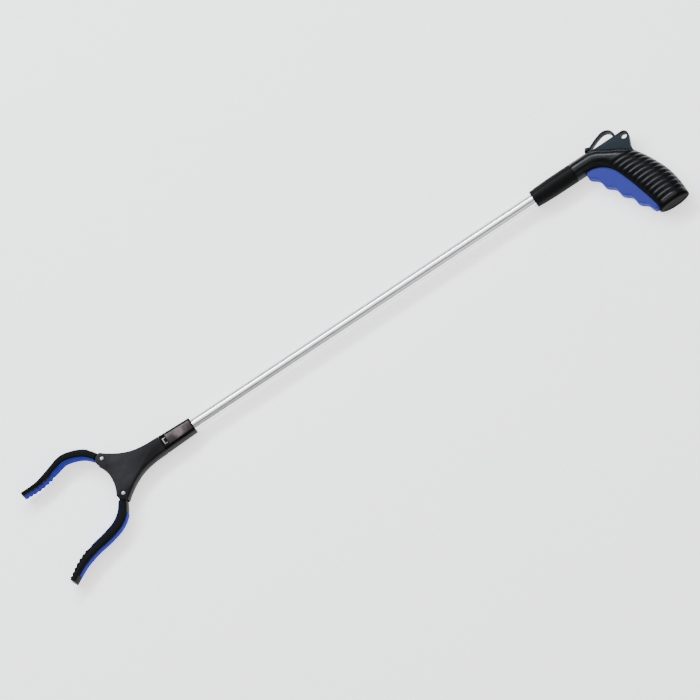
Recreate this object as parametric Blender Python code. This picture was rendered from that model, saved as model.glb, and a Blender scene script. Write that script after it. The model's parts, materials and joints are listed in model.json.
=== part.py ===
"""Reacher grabber: a pistol-grip handle whose trigger pulls a rod through a tube and closes two jaws.

Lengths are in millimetres in the design and become metres when a mesh is made. In the design X runs along
the tube from the jaw rivets (X = 0) to the handle, Y points to the hang eye and Z is the jaws' width.
"""
import math

import bmesh
import bpy
import numpy as np
from mathutils import Vector

MM = 0.001
GAP = 0.3                                   # air between pieces that touch in the real object

# Tube and rod
TUBE_R, TUBE_WALL = 6.35, 1.0
TUBE_FRONT, TUBE_REAR = 74.0, 586.0
ROD_R, KNOB_R, KNOB_X = 1.5, 2.9, 21.2
STROKE = 14.0                               # how far the rod is pulled

# Head
PIVOT_Y = 23.0                              # rivets stand this far from the tube's axis
HEAD_REAR = 62.0
HEAD_Z, NECK_Z = 6.5, 8.0                   # half thickness at the rivets and at the neck
HEAD_WALL, HEAD_BEVEL = 1.6, 1.7
BRANCH_R, JAW_ROOT_R = 7.4, 8.3             # head's rounded branch end, and where a jaw grows wide
CONCAVE_R, CONCAVE_X = 43.3, -2.3           # front edge of the head
NOSE_X, NOSE_R, GROOVE_R = 52.3, 5.9, 4.7
PIN_R, PIN_X, PIN_Y = 1.7, 5.0, -5.0        # drive pin of the crosshead, jaws open
RIVET_R, RIVET_HEAD_R = 1.7, 2.6

# Collar
COLLAR_REAR, COLLAR_FRONT_HALF, COLLAR_REAR_HALF = 100.0, 8.9, 7.7

# Jaws
JAW_SWING = {1: 24.0, -1: 38.1}             # degrees from open to closed, upper and lower
JAW_OUTER = {
    1: [(3.0, 22.5), (-1.5, 31.3), (-9.0, 41.0), (-21.0, 48.2), (-37.0, 51.8), (-55.0, 46.8), (-73.0, 41.9),
        (-91.8, 41.3)],
    -1: [(3.0, -22.5), (-1.5, -31.3), (-9.0, -43.6), (-21.0, -52.4), (-38.0, -57.6), (-57.0, -61.0),
         (-75.0, -66.8), (-92.8, -76.6)],
}
JAW_THICK = {1: [4.5, 6.9, 7.3, 7.2, 7.0, 6.0, 3.6, 2.6], -1: [4.5, 7.4, 8.5, 8.3, 7.8, 7.1, 6.0, 4.0]}
JAW_HALF_ROOT, JAW_HALF_TIP = 6.2, 7.6
TONGUE_Z, TONGUE_R = 4.6, 9.0
PAD_THICK, STRIP_THICK, STRIP_HALF = 1.5, 0.8, 5.0
TOOTH_PITCH, TOOTH_HIGH, TOOTH_COUNT = 5.0, 1.1, 7
FLANGE_LOW, FLANGE_HIGH, FLANGE_DROP = 6.2, 7.2, 0.35   # black toothed walls beside the lining near the tip
PAD_CLEAR_R = 9.3                           # the lining starts this far from the jaw's rivet

# Handle
BARREL_R, SPIGOT_R, SHELL_WALL = 10.6, 8.3, 2.2
SLEEVE_FRONT, SEAM_X, SHELL_FRONT, MOUTH_X = 529.4, 580.4, 545.0, 590.9
MOUTH_HALF = 8.3                            # half width of the trigger's opening
BEND = (601.0, -17.0)                       # the hump's sections fan about this point
SHELL_BOTTOM, CAP_BOTTOM = -87.4, -91.0
SKIRT_INSIDE, SKIRT_OUTSIDE = 7.0, 8.7         # flat walls that stand beside the trigger, below the lip
SKIRT_EDGE = [(590.9, -10.1), (594.4, -9.7), (598.2, -10.1), (603.9, -12.2), (609.0, -15.3), (612.8, -18.8),
              (616.2, -23.2), (619.2, -29.0), (625.0, -45.8), (629.3, -61.5), (633.1, -77.3), (634.6, -87.4)]
RIB_FIRST, RIB_PITCH, RIB_COUNT, RIB_DEEP = -18.5, 5.75, 12, 0.9
EYE, EYE_R, EYE_LIP_R = (645.4, 2.9), 3.6, 5.5
FIN_Z, FIN_TOP, FIN_INSET = 5.2, 8.3, 1.95     # half thickness, top edge, depth let into the shells
SCREWS = [(640.0, -24.0, 10.9), (650.0, -50.0, 11.6), (652.0, -75.0, 10.9)]

# Trigger
TRIGGER_PIVOT = (644.0, -81.0)
TRIGGER_Z, LINK, LINK_R = 6.6, (594.0, -5.0), 1.5
FINGER_PITCH, FINGER_DEEP = 20.3, 1.5


for old in list(bpy.data.objects):
    bpy.data.objects.remove(old, do_unlink=True)


# ---------------------------------------------------------------- materials
def material(name, colour, roughness, metallic=0.0):
    made = bpy.data.materials.new(name)
    made.use_nodes = True
    shader = made.node_tree.nodes["Principled BSDF"]
    shader.inputs["Base Color"].default_value = (*colour, 1.0)
    shader.inputs["Roughness"].default_value = roughness
    shader.inputs["Metallic"].default_value = metallic
    made.diffuse_color = (*colour, 1.0)
    return made


# ---------------------------------------------------------------- frame and moving groups
def empty(name, x=0.0, y=0.0, z=0.0, parent=None):
    made = bpy.data.objects.new(name, None)
    bpy.context.scene.collection.objects.link(made)
    made.location = Vector((x, y, z)) * MM
    if parent:
        made.parent = parent
        made.location -= place_of(parent)
    made.empty_display_size = 0.01
    return made


def place_of(obj):
    place = Vector(obj.location)
    while obj.parent:
        obj = obj.parent
        place += obj.location
    return place


DESIGN = empty("design_frame")
HEAD = empty("head_group", HEAD_REAR, 0, 0, DESIGN)
CROSSHEAD = empty("crosshead_group", PIN_X, 0, 0, HEAD)
JAW_GROUP = {1: empty("upper_jaw_group", 0, PIVOT_Y, 0, HEAD),
             -1: empty("lower_jaw_group", 0, -PIVOT_Y, 0, HEAD)}
TRIGGER = empty("trigger_group", *TRIGGER_PIVOT, 0, DESIGN)
ROD = empty("pull_rod_group", *LINK, 0, DESIGN)


# ---------------------------------------------------------------- mesh tools
def node(name, mesh_source, look, parent):
    """An object from a bmesh in design millimetres, hung on the group that it moves with."""
    bmesh.ops.recalc_face_normals(mesh_source, faces=mesh_source.faces)
    place = place_of(parent)
    for vertex in mesh_source.verts:
        vertex.co = vertex.co * MM - place
    mesh = bpy.data.meshes.new(name)
    mesh_source.to_mesh(mesh)
    mesh_source.free()
    made = bpy.data.objects.new(name, mesh)
    bpy.context.scene.collection.objects.link(made)
    made.parent = parent
    if look:
        mesh.materials.append(look)
        mesh.shade_smooth()
        mesh.set_sharp_from_angle(angle=math.radians(30))
    return made


def cut(target, mesh_source, operation="DIFFERENCE"):
    """Cuts a bmesh away from an object, or adds it, with a hidden tool object."""
    tool = node(f"tool_{target.name}_{len(target.modifiers)}", mesh_source, None, target.parent)
    tool.hide_render = True
    tool.display_type = "WIRE"
    modifier = target.modifiers.new(f"{operation.lower()}_{len(target.modifiers)}", "BOOLEAN")
    modifier.object = tool
    modifier.operation = operation
    modifier.solver = "EXACT"


def join(target, mesh_source):
    cut(target, mesh_source, "UNION")


def loft(rings):
    """A closed body through rings of points that all have the same count."""
    body = bmesh.new()
    layers = [[body.verts.new(point) for point in ring] for ring in rings]
    for here, there in zip(layers, layers[1:]):
        for index in range(len(here)):
            after = (index + 1) % len(here)
            body.faces.new((here[index], here[after], there[after], there[index]))
    body.faces.new(layers[0])
    body.faces.new(layers[-1][::-1])
    return body


def prism(outline, low, high):
    """An outline in X and Y, raised along Z from low to high; high may depend on X."""
    top = high if callable(high) else lambda x: high
    return loft([[(x, y, low) for x, y in outline], [(x, y, top(x)) for x, y in outline]])


def arc(centre, radius, start, end, steps):
    angles = np.radians(np.linspace(start, end, steps + 1))
    return [(centre[0] + radius * math.cos(a), centre[1] + radius * math.sin(a)) for a in angles]


def disc(centre, radius, low, high, steps=24):
    return prism(arc(centre, radius, 0, 360 * (1 - 1 / steps), steps - 1), low, high)


def turned(profile, steps=24, centre=(0.0, 0.0)):
    """Solid turned about a line along X: profile is (x, radius), starting and ending on a flat face."""
    rings = []
    for x, radius in profile:
        ring = arc((0, 0), radius, 0, 360 * (1 - 1 / steps), steps - 1)
        rings.append([(x, centre[0] + a, centre[1] + b) for a, b in ring])
    return loft(rings)


def standing(profile, centre, steps=20):
    """Solid turned about a line along Z: profile is (z, radius)."""
    rings = [[(x, y, z) for x, y in arc(centre, radius, 0, 360 * (1 - 1 / steps), steps - 1)]
             for z, radius in profile]
    return loft(rings)


def pipe(profile, bore, steps=32):
    """Turned about the tube's axis with a straight hole through it."""
    outside = [(x, r) for x, r in profile]
    low, high = outside[0][0], outside[-1][0]
    rings = []
    for x, radius in outside + [(high, bore), (low, bore)]:
        rings.append([(x, a, b) for a, b in arc((0, 0), radius, 0, 360 * (1 - 1 / steps), steps - 1)])
    body = bmesh.new()
    layers = [[body.verts.new(point) for point in ring] for ring in rings]
    for here, there in zip(layers, layers[1:] + layers[:1]):
        for index in range(steps):
            after = (index + 1) % steps
            body.faces.new((here[index], here[after], there[after], there[index]))
    return body


def box(low, high):
    (x0, y0, z0), (x1, y1, z1) = low, high
    return prism([(x0, y0), (x1, y0), (x1, y1), (x0, y1)], z0, z1)


def hull(points, low, high):
    """Convex outline round some points, raised along Z."""
    ordered = sorted(set((round(x, 4), round(y, 4)) for x, y in points))

    def side(sequence):
        chain = []
        for p in sequence:
            while len(chain) > 1 and ((chain[-1][0] - chain[-2][0]) * (p[1] - chain[-2][1])
                                      - (chain[-1][1] - chain[-2][1]) * (p[0] - chain[-2][0])) <= 0:
                chain.pop()
            chain.append(p)
        return chain[:-1]

    return prism(side(ordered) + side(ordered[::-1]), low, high)


def spline(points, per_span):
    """Catmull-Rom curve through the points."""
    points = [np.array(p, float) for p in points]
    padded = [2 * points[0] - points[1], *points, 2 * points[-1] - points[-2]]
    curve = []
    for index in range(1, len(padded) - 2):
        a, b, c, d = padded[index - 1:index + 3]
        for t in np.arange(per_span) / per_span:
            curve.append(0.5 * (2 * b + (c - a) * t + (2 * a - 5 * b + 4 * c - d) * t * t
                                + (3 * b - a - 3 * c + d) * t ** 3))
    curve.append(points[-1])
    return [tuple(p) for p in curve]


def normals_of(path, sign):
    """Unit normals of a path in X and Y, turned left for sign 1 and right for sign -1."""
    points = np.array(path)
    along = np.gradient(points, axis=0)
    along /= np.linalg.norm(along, axis=1)[:, None]
    return sign * np.stack([-along[:, 1], along[:, 0]], 1)


def turn(point, degrees):
    c, s = math.cos(math.radians(degrees)), math.sin(math.radians(degrees))
    return point[0] * c - point[1] * s, point[0] * s + point[1] * c


def bevelled(body, edges, width):
    bmesh.ops.bevel(body, geom=edges, offset=width, segments=1, profile=0.5, affect="EDGES")
    return body


# ---------------------------------------------------------------- tube, rod and their small pieces
def make_shaft():
    satin = material("tube_aluminium", (0.66, 0.67, 0.68), 0.32, 1.0)
    steel = material("rod_steel", (0.55, 0.55, 0.56), 0.3, 1.0)
    nylon = material("guide_nylon", (0.75, 0.74, 0.7), 0.5)
    node("tube", pipe([(TUBE_FRONT, TUBE_R), (TUBE_REAR, TUBE_R)], TUBE_R - TUBE_WALL, 40), satin, DESIGN)
    node("rod_guide", pipe([(548, 5.1), (560, 5.1)], ROD_R + GAP, 24), nylon, DESIGN)
    profile = [(KNOB_X, KNOB_R), (KNOB_X + 2.6, KNOB_R), (KNOB_X + 2.6, ROD_R), (568.0, ROD_R)]
    node("pull_rod", turned(profile, 16), steel, ROD)


def make_rod_end():
    """Boss on the rod and a flat blade whose upright slot takes the trigger's link pin."""
    black = material("rod_end_nylon", (0.05, 0.05, 0.055), 0.5)
    x, y = LINK
    rise = 7.55
    blade = hull(arc((x, y), 3.2, 0, 345, 15) + arc((x, y + rise), 2.9, 0, 345, 15), -1.6, 1.6)
    made = node("rod_end", blade, black, ROD)
    join(made, box((576.0, -2.3, -1.55), (x, 2.3, 1.55)))
    join(made, turned([(568.3, 3.2), (579.0, 3.2)], 20))
    slot = arc((x, y), LINK_R + 0.3, 180, 360, 8) + arc((x, y + rise), LINK_R + 0.3, 0, 180, 8)
    cut(made, prism(slot, -3, 3))


# ---------------------------------------------------------------- collar
def chamfered_square(x, half_y, half_z, corner):
    y, z = half_y, half_z
    return [(x, y - corner, z), (x, y, z - corner), (x, y, corner - z), (x, y - corner, -z),
            (x, corner - y, -z), (x, -y, corner - z), (x, -y, z - corner), (x, corner - y, z)]


def make_collar():
    black = material("collar_black", (0.03, 0.031, 0.034), 0.35)
    smoked = material("panel_smoked", (0.16, 0.14, 0.13), 0.12)
    steel = material("lock_steel", (0.75, 0.75, 0.76), 0.2, 1.0)
    front = HEAD_REAR + GAP
    made = node("collar", loft([chamfered_square(front, COLLAR_FRONT_HALF, 8.0, 2.0),
                                chamfered_square(COLLAR_REAR, COLLAR_REAR_HALF, 7.7, 2.0)]), black, DESIGN)
    nose = [(NOSE_X, NOSE_R), (54.5, NOSE_R), (54.5, GROOVE_R), (57.5, GROOVE_R), (57.5, NOSE_R),
            (64.0, NOSE_R)]
    join(made, turned(nose, 32))
    bore = [(NOSE_X - 2, ROD_R + 0.4), (72.0, ROD_R + 0.4), (72.0, TUBE_R + 0.2),
            (COLLAR_REAR + 2, TUBE_R + 0.2)]
    cut(made, turned(bore, 40))
    window = [(64.0, -6.2), (98.6, -5.2), (98.6, 5.2), (64.0, 6.2)]
    cut(made, prism(window, 7.0, 12.0))
    cut(made, standing([(-9.0, 1.8), (-5.0, 1.8)], (90.0, 0.0)))
    panel = [(69.0, -5.8), (98.3, -4.9), (98.3, 4.9), (69.0, 5.8)]
    node("collar_panel", prism(panel, 7.2, 7.6), smoked, DESIGN)
    leaf = [(64.4, -5.8), (68.6, -5.5), (68.6, -4.1), (66.0, -4.2), (66.0, 4.2), (68.6, 4.1), (68.6, 5.5),
            (64.4, 5.8)]
    node("lock_leaf", prism(leaf, 7.2, 7.9), steel, DESIGN)
    rivet = [(-9.4, 2.4), (-8.1, 2.8), (-8.1, 1.5), (-6.6, 1.5)]
    node("collar_rivet", standing(rivet, (90.0, 0.0), 16), steel, DESIGN)


# ---------------------------------------------------------------- head
def head_z(x):
    return HEAD_Z + (NECK_Z - HEAD_Z) * x / HEAD_REAR


def head_side():
    """Upper edge of the head from the branch end to the neck."""
    return spline([(1.4, 30.2), (10.0, 23.6), (20.0, 17.4), (31.0, 12.7), (45.0, 9.9), (HEAD_REAR, 9.0)], 3)


def concave_edge(radius, reach):
    centre = CONCAVE_X - CONCAVE_R
    top = math.degrees(math.asin(reach / radius))
    return arc((centre, 0.0), radius, -top, top, 16)


def head_outline():
    branch = arc((0, PIVOT_Y), BRANCH_R, 184, 80, 8)
    front = concave_edge(CONCAVE_R, 21.2)
    upper = branch + head_side()
    return front + upper + [(x, -y) for x, y in upper[::-1]]


def head_cavity():
    """Room for the levers: open at both branch ends, walled along the sides and the middle of the front."""
    side = spline([(0.2, 28.6), (8.9, 22.0), (19.0, 15.9), (30.4, 11.1), (44.8, 8.3), (HEAD_REAR + 2, 7.3)], 3)
    upper = [(-20.0, 13.0), (-20.0, 38.0), (0.2, 38.0)] + side
    return concave_edge(CONCAVE_R + HEAD_WALL, 13.0) + upper + [(x, -y) for x, y in upper[::-1]]


def make_head_shell(name, side, look):
    outline = [(x, side * y) for x, y in head_outline()]
    body = prism(outline, 0.15, head_z)
    rim = [edge for edge in body.edges
           if all(v.co.z > 1 and v.co.x > 1.2 for v in edge.verts)
           and not all(abs(v.co.x - HEAD_REAR) < 0.01 for v in edge.verts)]
    bevelled(body, rim, HEAD_BEVEL)
    place_z(body, side)
    made = node(name, body, look, HEAD)
    inner = prism(head_cavity(), -1.0, lambda x: head_z(x) - HEAD_WALL)
    cut(made, place_z(inner, side))
    ring = [(54.9, 8.6), (57.1, 8.6)]
    rib = bmesh_half(pipe(ring, GROOVE_R + 0.3, 32), side)
    join(made, rib)
    for y in (PIVOT_Y, -PIVOT_Y):
        cut(made, place_z(disc((0, y), RIVET_R + 0.25, -1, 12, 20), side))
    return made


def place_z(body, side):
    if side < 0:
        for vertex in body.verts:
            vertex.co.z = -vertex.co.z
    return body


def bmesh_half(body, side):
    """Keeps the half of a turned ring on one side of the parting plane, trimmed inside the neck's walls."""
    for plane_co, plane_no in (((0, 0, 0.15 * side), (0, 0, -side)), ((0, 7.9, 0), (0, 1, 0)),
                               ((0, -7.9, 0), (0, -1, 0)), ((0, 0, 7.0 * side), (0, 0, side))):
        everything = body.verts[:] + body.edges[:] + body.faces[:]
        cutting = bmesh.ops.bisect_plane(body, geom=everything, plane_co=plane_co, plane_no=plane_no,
                                         clear_outer=True)
        rim = [part for part in cutting["geom_cut"] if isinstance(part, bmesh.types.BMEdge)]
        bmesh.ops.contextual_create(body, geom=rim)
    return body


def make_head():
    black = material("head_black", (0.034, 0.034, 0.036), 0.4)
    steel = material("rivet_steel", (0.7, 0.7, 0.71), 0.25, 1.0)
    spring_steel = material("spring_steel", (0.5, 0.5, 0.52), 0.3, 1.0)
    for name, side in (("head_shell_front", 1), ("head_shell_back", -1)):
        make_head_shell(name, side, black)
    for name, y in (("rivet_upper", PIVOT_Y), ("rivet_lower", -PIVOT_Y)):
        low, high = HEAD_Z + 0.15, HEAD_Z + 1.2
        profile = [(-high, 2.0), (-low - 0.3, RIVET_HEAD_R), (-low, RIVET_HEAD_R), (-low, RIVET_R),
                   (low, RIVET_R), (low, RIVET_HEAD_R), (low + 0.3, RIVET_HEAD_R), (high, 2.0)]
        node(name, standing(profile, (0.0, y)), steel, HEAD)
    node("spring_washer", pipe([(51.2, 5.6), (52.0, 5.6)], ROD_R + 0.4, 24), steel, HEAD)
    node("return_spring", coil(28.8, 50.9, 3.6, 0.45, 7), spring_steel, HEAD)


def coil(start, end, radius, wire, turns, per_turn=12, sides=5):
    """Round wire wound about the tube's axis, its first and last turns nearly closed."""
    rings = []
    count = turns * per_turn
    for index in range(count + 1):
        share = index / count
        lead = np.interp(share * turns, [0, 1, turns - 1, turns], [0.0, 0.05, 0.95, 1.0])
        x = start + wire + (end - start - 2 * wire) * lead
        angle = 2 * math.pi * index / per_turn
        ring = []
        for step in range(sides):
            a = 2 * math.pi * step / sides
            out = radius + wire * math.cos(a)
            ring.append((x + wire * math.sin(a), out * math.cos(angle), out * math.sin(angle)))
        rings.append(ring)
    return loft(rings)


def make_crosshead():
    """Block that slides in the neck, holds the rod's knob and carries the drive pin between the levers."""
    grey = material("crosshead_nylon", (0.6, 0.6, 0.58), 0.5)
    steel = material("drive_pin_steel", (0.6, 0.6, 0.61), 0.25, 1.0)
    made = node("crosshead", box((16.5, -6.0, -4.8), (28.5, 6.0, 4.8)), grey, CROSSHEAD)
    plate = hull(arc((PIN_X, PIN_Y), 3.3, 0, 340, 17) + [(19.0, -5.6), (19.0, 3.0), (14.0, 3.0)], -1.1, 1.1)
    join(made, plate)
    cut(made, box((KNOB_X - 0.3, -3.3, -3.3), (KNOB_X + 2.9, 8.0, 3.3)))
    cut(made, box((KNOB_X + 1.0, -1.9, -1.9), (30.0, 8.0, 1.9)))
    cut(made, disc((PIN_X, PIN_Y), PIN_R + 0.15, -3, 3, 20))
    node("drive_pin", standing([(-4.6, PIN_R), (4.6, PIN_R)], (PIN_X, PIN_Y)), steel, CROSSHEAD)


# ---------------------------------------------------------------- jaws
def slot_path(side, steps=8):
    """Track of the drive pin seen from a jaw, so that rod travel and jaw angle keep one ratio."""
    track = []
    for share in np.linspace(0, 1, steps + 1):
        pin = (PIN_X + STROKE * share, PIN_Y - side * PIVOT_Y)
        x, y = turn(pin, -side * JAW_SWING[side] * share)
        track.append((x, y + side * PIVOT_Y))
    return track


def slot_outline(track, radius):
    path = [np.array(p) for p in track]
    normal = normals_of(track, 1)
    left = [tuple(p + n * radius) for p, n in zip(path, normal)]
    right = [tuple(p - n * radius) for p, n in zip(path, normal)]
    end = math.degrees(math.atan2(normal[-1][1], normal[-1][0]))
    start = math.degrees(math.atan2(normal[0][1], normal[0][0]))
    far, near = arc(track[-1], radius, end, end - 180, 8), arc(track[0], radius, start + 180, start, 8)
    return left + far[1:-1] + right[::-1] + near[1:-1]


def jaw_path(side, per_span=4):
    """Outer edge of a finger with its thickness, inward normal and half width at each point."""
    path = spline(JAW_OUTER[side], per_span)
    keys = np.linspace(0, 1, len(JAW_THICK[side]))
    share = np.linspace(0, 1, len(path))
    thick = np.interp(share, keys, JAW_THICK[side])
    half = JAW_HALF_ROOT + (JAW_HALF_TIP - JAW_HALF_ROOT) * np.clip(share * 1.25, 0, 1)
    return np.array(path), thick, normals_of(path, side), half


def bar_ring(outer, inner, half, corner):
    """Rectangle with cut corners between an outer and an inner point, half wide each way along Z."""
    across = (inner - outer) / np.linalg.norm(inner - outer)
    a, b = outer + across * corner, inner - across * corner
    return [(*outer, half - corner), (*a, half), (*b, half), (*inner, half - corner),
            (*inner, corner - half), (*b, -half), (*a, -half), (*outer, corner - half)]


def make_jaw(side, prefix):
    black = material(f"{prefix}_black", (0.03, 0.03, 0.032), 0.42)
    blue = material(f"{prefix}_pad_blue", (0.035, 0.055, 0.32), 0.6)
    strip_blue = material(f"{prefix}_strip_blue", (0.04, 0.06, 0.36), 0.45)
    group = JAW_GROUP[side]
    pivot = (0.0, side * PIVOT_Y)
    path, thick, inward, half = jaw_path(side)
    rings = [bar_ring(p, p + n * t, h, 0.7) for p, t, n, h in zip(path, thick, inward, half)]
    made = node(f"{prefix}_jaw", loft(rings), black, group)
    cut(made, disc(pivot, JAW_ROOT_R, -12, 12, 40))
    reach = [(TONGUE_R * math.cos(math.radians(a)), pivot[1] + side * TONGUE_R * math.sin(math.radians(a)))
             for a in (118, 156)]
    join(made, hull(arc(pivot, 4.2, 0, 345, 23) + reach, -TONGUE_Z, TONGUE_Z))
    track = slot_path(side)
    low, high = (1.5, 4.4) if side > 0 else (-4.4, -1.5)
    lever = hull(arc(pivot, 2.7, 0, 345, 23) + slot_outline(track, PIN_R + 0.9), low, high)
    join(made, lever)
    join(made, prism(slot_outline(track, PIN_R + 1.65), low + 0.02, high - 0.02))
    cut(made, prism(slot_outline(track, PIN_R + 0.2), -8, 8))
    cut(made, disc(pivot, RIVET_R + 0.25, -8, 8, 24))
    for end in (1, -1):
        join(made, place_z(prism(flange_outline(side), FLANGE_LOW, FLANGE_HIGH), end))
    make_pad(side, prefix, blue, group)
    make_strip(side, prefix, strip_blue, group)


def fine_path(side, first, last, step):
    """Points every few millimetres along a finger, from one share of its length to another."""
    path, thick, inward, half = jaw_path(side, 12)
    run = np.concatenate([[0], np.cumsum(np.linalg.norm(np.diff(path, axis=0), axis=1))])
    places = np.arange(run[-1] * last, run[-1] * first, -step)[::-1]
    pick = lambda values: np.interp(places, run, values)
    points = np.stack([pick(path[:, 0]), pick(path[:, 1])], 1)
    normal = np.stack([pick(inward[:, 0]), pick(inward[:, 1])], 1)
    normal /= np.linalg.norm(normal, axis=1)[:, None]
    return points, normal, pick(thick), pick(half), places, run[-1]


def tooth_height(from_tip):
    if from_tip > TOOTH_COUNT * TOOTH_PITCH:
        return 0.0
    return TOOTH_HIGH * (0.5 - 0.5 * math.cos(2 * math.pi * from_tip / TOOTH_PITCH))


def flange_outline(side):
    """Toothed edge that rises from the finger's side to just below the lining."""
    points, normal, thick, _, places, length = fine_path(side, 0.68, 1.0, TOOTH_PITCH / 4)
    base, crest = [], []
    for p, n, t, place in zip(points, normal, thick, places):
        top = t + PAD_THICK - FLANGE_DROP + tooth_height(length - place)
        base.append(tuple(p + n * (t - 1.0)))
        crest.append(tuple(p + n * top))
    return base + crest[::-1]


def make_pad(side, prefix, look, group):
    """Rubber lining on the inner face, with teeth near the tip."""
    points, normal, thick, half, places, length = fine_path(side, 0.06, 1.0, TOOTH_PITCH / 4)
    rings = []
    for index, (p, n, t, h, place) in enumerate(zip(points, normal, thick, half, places)):
        from_tip = length - place
        if from_tip > TOOTH_COUNT * TOOTH_PITCH + 4 and place > 0.2 * length and index % 4:
            continue
        wide = h - 0.4 if from_tip > 0.34 * length else FLANGE_LOW - GAP
        inner = p + n * (t + GAP)
        rings.append(bar_ring(inner, inner + n * (PAD_THICK - GAP + tooth_height(from_tip)), wide, 0.3))
    made = node(f"{prefix}_jaw_pad", loft(rings), look, group)
    cut(made, disc((0.0, side * PIVOT_Y), PAD_CLEAR_R, -12, 12, 40))


def make_strip(side, prefix, look, group):
    """Flat strip let along the outer face."""
    points, normal = fine_path(side, 0.19, 0.93, 5.0)[:2]
    rings = [bar_ring(p - n * (STRIP_THICK + 0.15), p - n * 0.15, STRIP_HALF, 0.2)
             for p, n in zip(points, normal)]
    node(f"{prefix}_jaw_strip", loft(rings), look, group)


# ---------------------------------------------------------------- handle
def eased(x, xs, ys):
    """Smooth curve through keyed values: cubic pieces with averaged slopes."""
    xs, ys = np.array(xs, float), np.array(ys, float)
    if xs[0] > xs[-1]:
        xs, ys = xs[::-1], ys[::-1]
    slopes = np.gradient(ys, xs)
    k = int(np.clip(np.searchsorted(xs, x) - 1, 0, len(xs) - 2))
    w = xs[k + 1] - xs[k]
    t = min(max((x - xs[k]) / w, 0), 1)
    return ((2 * t ** 3 - 3 * t ** 2 + 1) * ys[k] + (t ** 3 - 2 * t ** 2 + t) * w * slopes[k]
            + (3 * t ** 2 - 2 * t ** 3) * ys[k + 1] + (t ** 3 - t ** 2) * w * slopes[k + 1])


BEND_ANGLE = [90, 60, 40, 25, 12, 0]
BEND_BACK = [27.6, 27.0, 28.0, 31.5, 38.0, 46.0]
BEND_EDGE = [10.4, 10.5, 11.5, 12.5, 13.5, 14.5]
BEND_DEPTH = [10.6, 11.0, 11.6, 12.3, 12.9, 13.3]
GRIP_Y = [-17, -26, -40, -52, -74, -91]
GRIP_BACK = [647.0, 652.5, 659.5, 664.3, 668.6, 669.0]
GRIP_EDGE = [615.5, 619.0, 624.8, 629.0, 635.0, 638.0]
GRIP_DEPTH = [13.3, 13.4, 13.5, 13.5, 13.1, 12.0]


def oval(back, edge, depth):
    """Centre and half width of an oval whose back and mouth edge are given."""
    half = (back - edge) / (1 + math.sqrt(1 - (MOUTH_HALF / depth) ** 2))
    return back - half, half


def bend_section(degrees):
    """Section of the hump on a plane through BEND: centre, direction to its back, half width, half depth."""
    depth = eased(degrees, BEND_ANGLE, BEND_DEPTH)
    middle, half = oval(eased(degrees, BEND_ANGLE, BEND_BACK), eased(degrees, BEND_ANGLE, BEND_EDGE), depth)
    across = (math.cos(math.radians(degrees)), math.sin(math.radians(degrees)))
    return (BEND[0] + middle * across[0], BEND[1] + middle * across[1]), across, half, depth


def grip_section(y):
    depth = eased(y, GRIP_Y, GRIP_DEPTH)
    middle, half = oval(eased(y, GRIP_Y, GRIP_BACK), eased(y, GRIP_Y, GRIP_EDGE), depth)
    return (middle, y), (1.0, 0.0), half, depth


def half_ring(section, mouth, wall, groove=0.0, inner=None, points=11):
    """C-shaped ring of one handle half: round the outside from mouth to parting plane and back inside."""
    centre, across, half, depth = section
    ring = []
    inner_half, inner_depth = inner or half - wall, inner or depth - wall
    for radius_a, radius_b, outside in ((half, depth, True), (inner_half, inner_depth, False)):
        start, end = math.asin(mouth / radius_b), math.pi - math.asin(0.15 / radius_b)
        row = []
        for share in np.linspace(0, 1, points):
            angle = start + (end - start) * share
            window = np.clip(min(share, 1 - share) * 8 - 0.6, 0, 1) if outside else 0.0
            a, b = radius_a - groove * window, radius_b - groove * window
            w, z = -a * math.cos(angle), b * math.sin(angle)
            row.append((centre[0] + across[0] * w, centre[1] + across[1] * w, z))
        ring += row if outside else row[::-1]
    return ring


def handle_rings():
    rings = []
    for x, radius in ((SHELL_FRONT, SPIGOT_R), (SEAM_X + 0.3, SPIGOT_R), (SEAM_X + 0.4, BARREL_R - 0.4),
                      (SEAM_X + 1.0, BARREL_R), (MOUTH_X - 0.6, BARREL_R)):
        rings.append(half_ring(((x, 0.0), (0.0, 1.0), radius, radius), 0.15, 0, inner=TUBE_R + 0.25))
    for x in (MOUTH_X, 594.0):
        rings.append(half_ring(((x, 0.0), (0.0, 1.0), BARREL_R, BARREL_R), MOUTH_HALF, SHELL_WALL, inner=8.45))
    for degrees in np.linspace(90, 0, 13):
        rings.append(half_ring(bend_section(degrees), MOUTH_HALF, SHELL_WALL))
    for index in range(RIB_COUNT):
        middle = RIB_FIRST - RIB_PITCH * index
        for offset, deep in ((1.1, 0.0), (0.0, RIB_DEEP), (-1.1, 0.0)):
            rings.append(half_ring(grip_section(middle + offset), MOUTH_HALF, SHELL_WALL, deep))
    rings.append(half_ring(grip_section(SHELL_BOTTOM), MOUTH_HALF, SHELL_WALL))
    return rings


def skirt_outline():
    """Wall beside the trigger, from its lower edge to a little inside the lip of the shell."""
    inside = [(eased(y, GRIP_Y, GRIP_EDGE) + 1.2, y) for y in (SHELL_BOTTOM, -74, -60, -48, -37, -27, -19)]
    for degrees in (8, 22, 38, 56, 75, 90):
        radius = eased(degrees, BEND_ANGLE, BEND_EDGE) + 1.2
        inside.append((BEND[0] + radius * math.cos(math.radians(degrees)),
                       BEND[1] + radius * math.sin(math.radians(degrees))))
    return [(589.2, -5.4), (589.2, -7.5)] + spline(SKIRT_EDGE, 2) + inside


def bend_point(degrees, inset):
    radius = eased(degrees, BEND_ANGLE, BEND_BACK) - inset
    angle = math.radians(degrees)
    return BEND[0] + radius * math.cos(angle), BEND[1] + radius * math.sin(angle)


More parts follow.
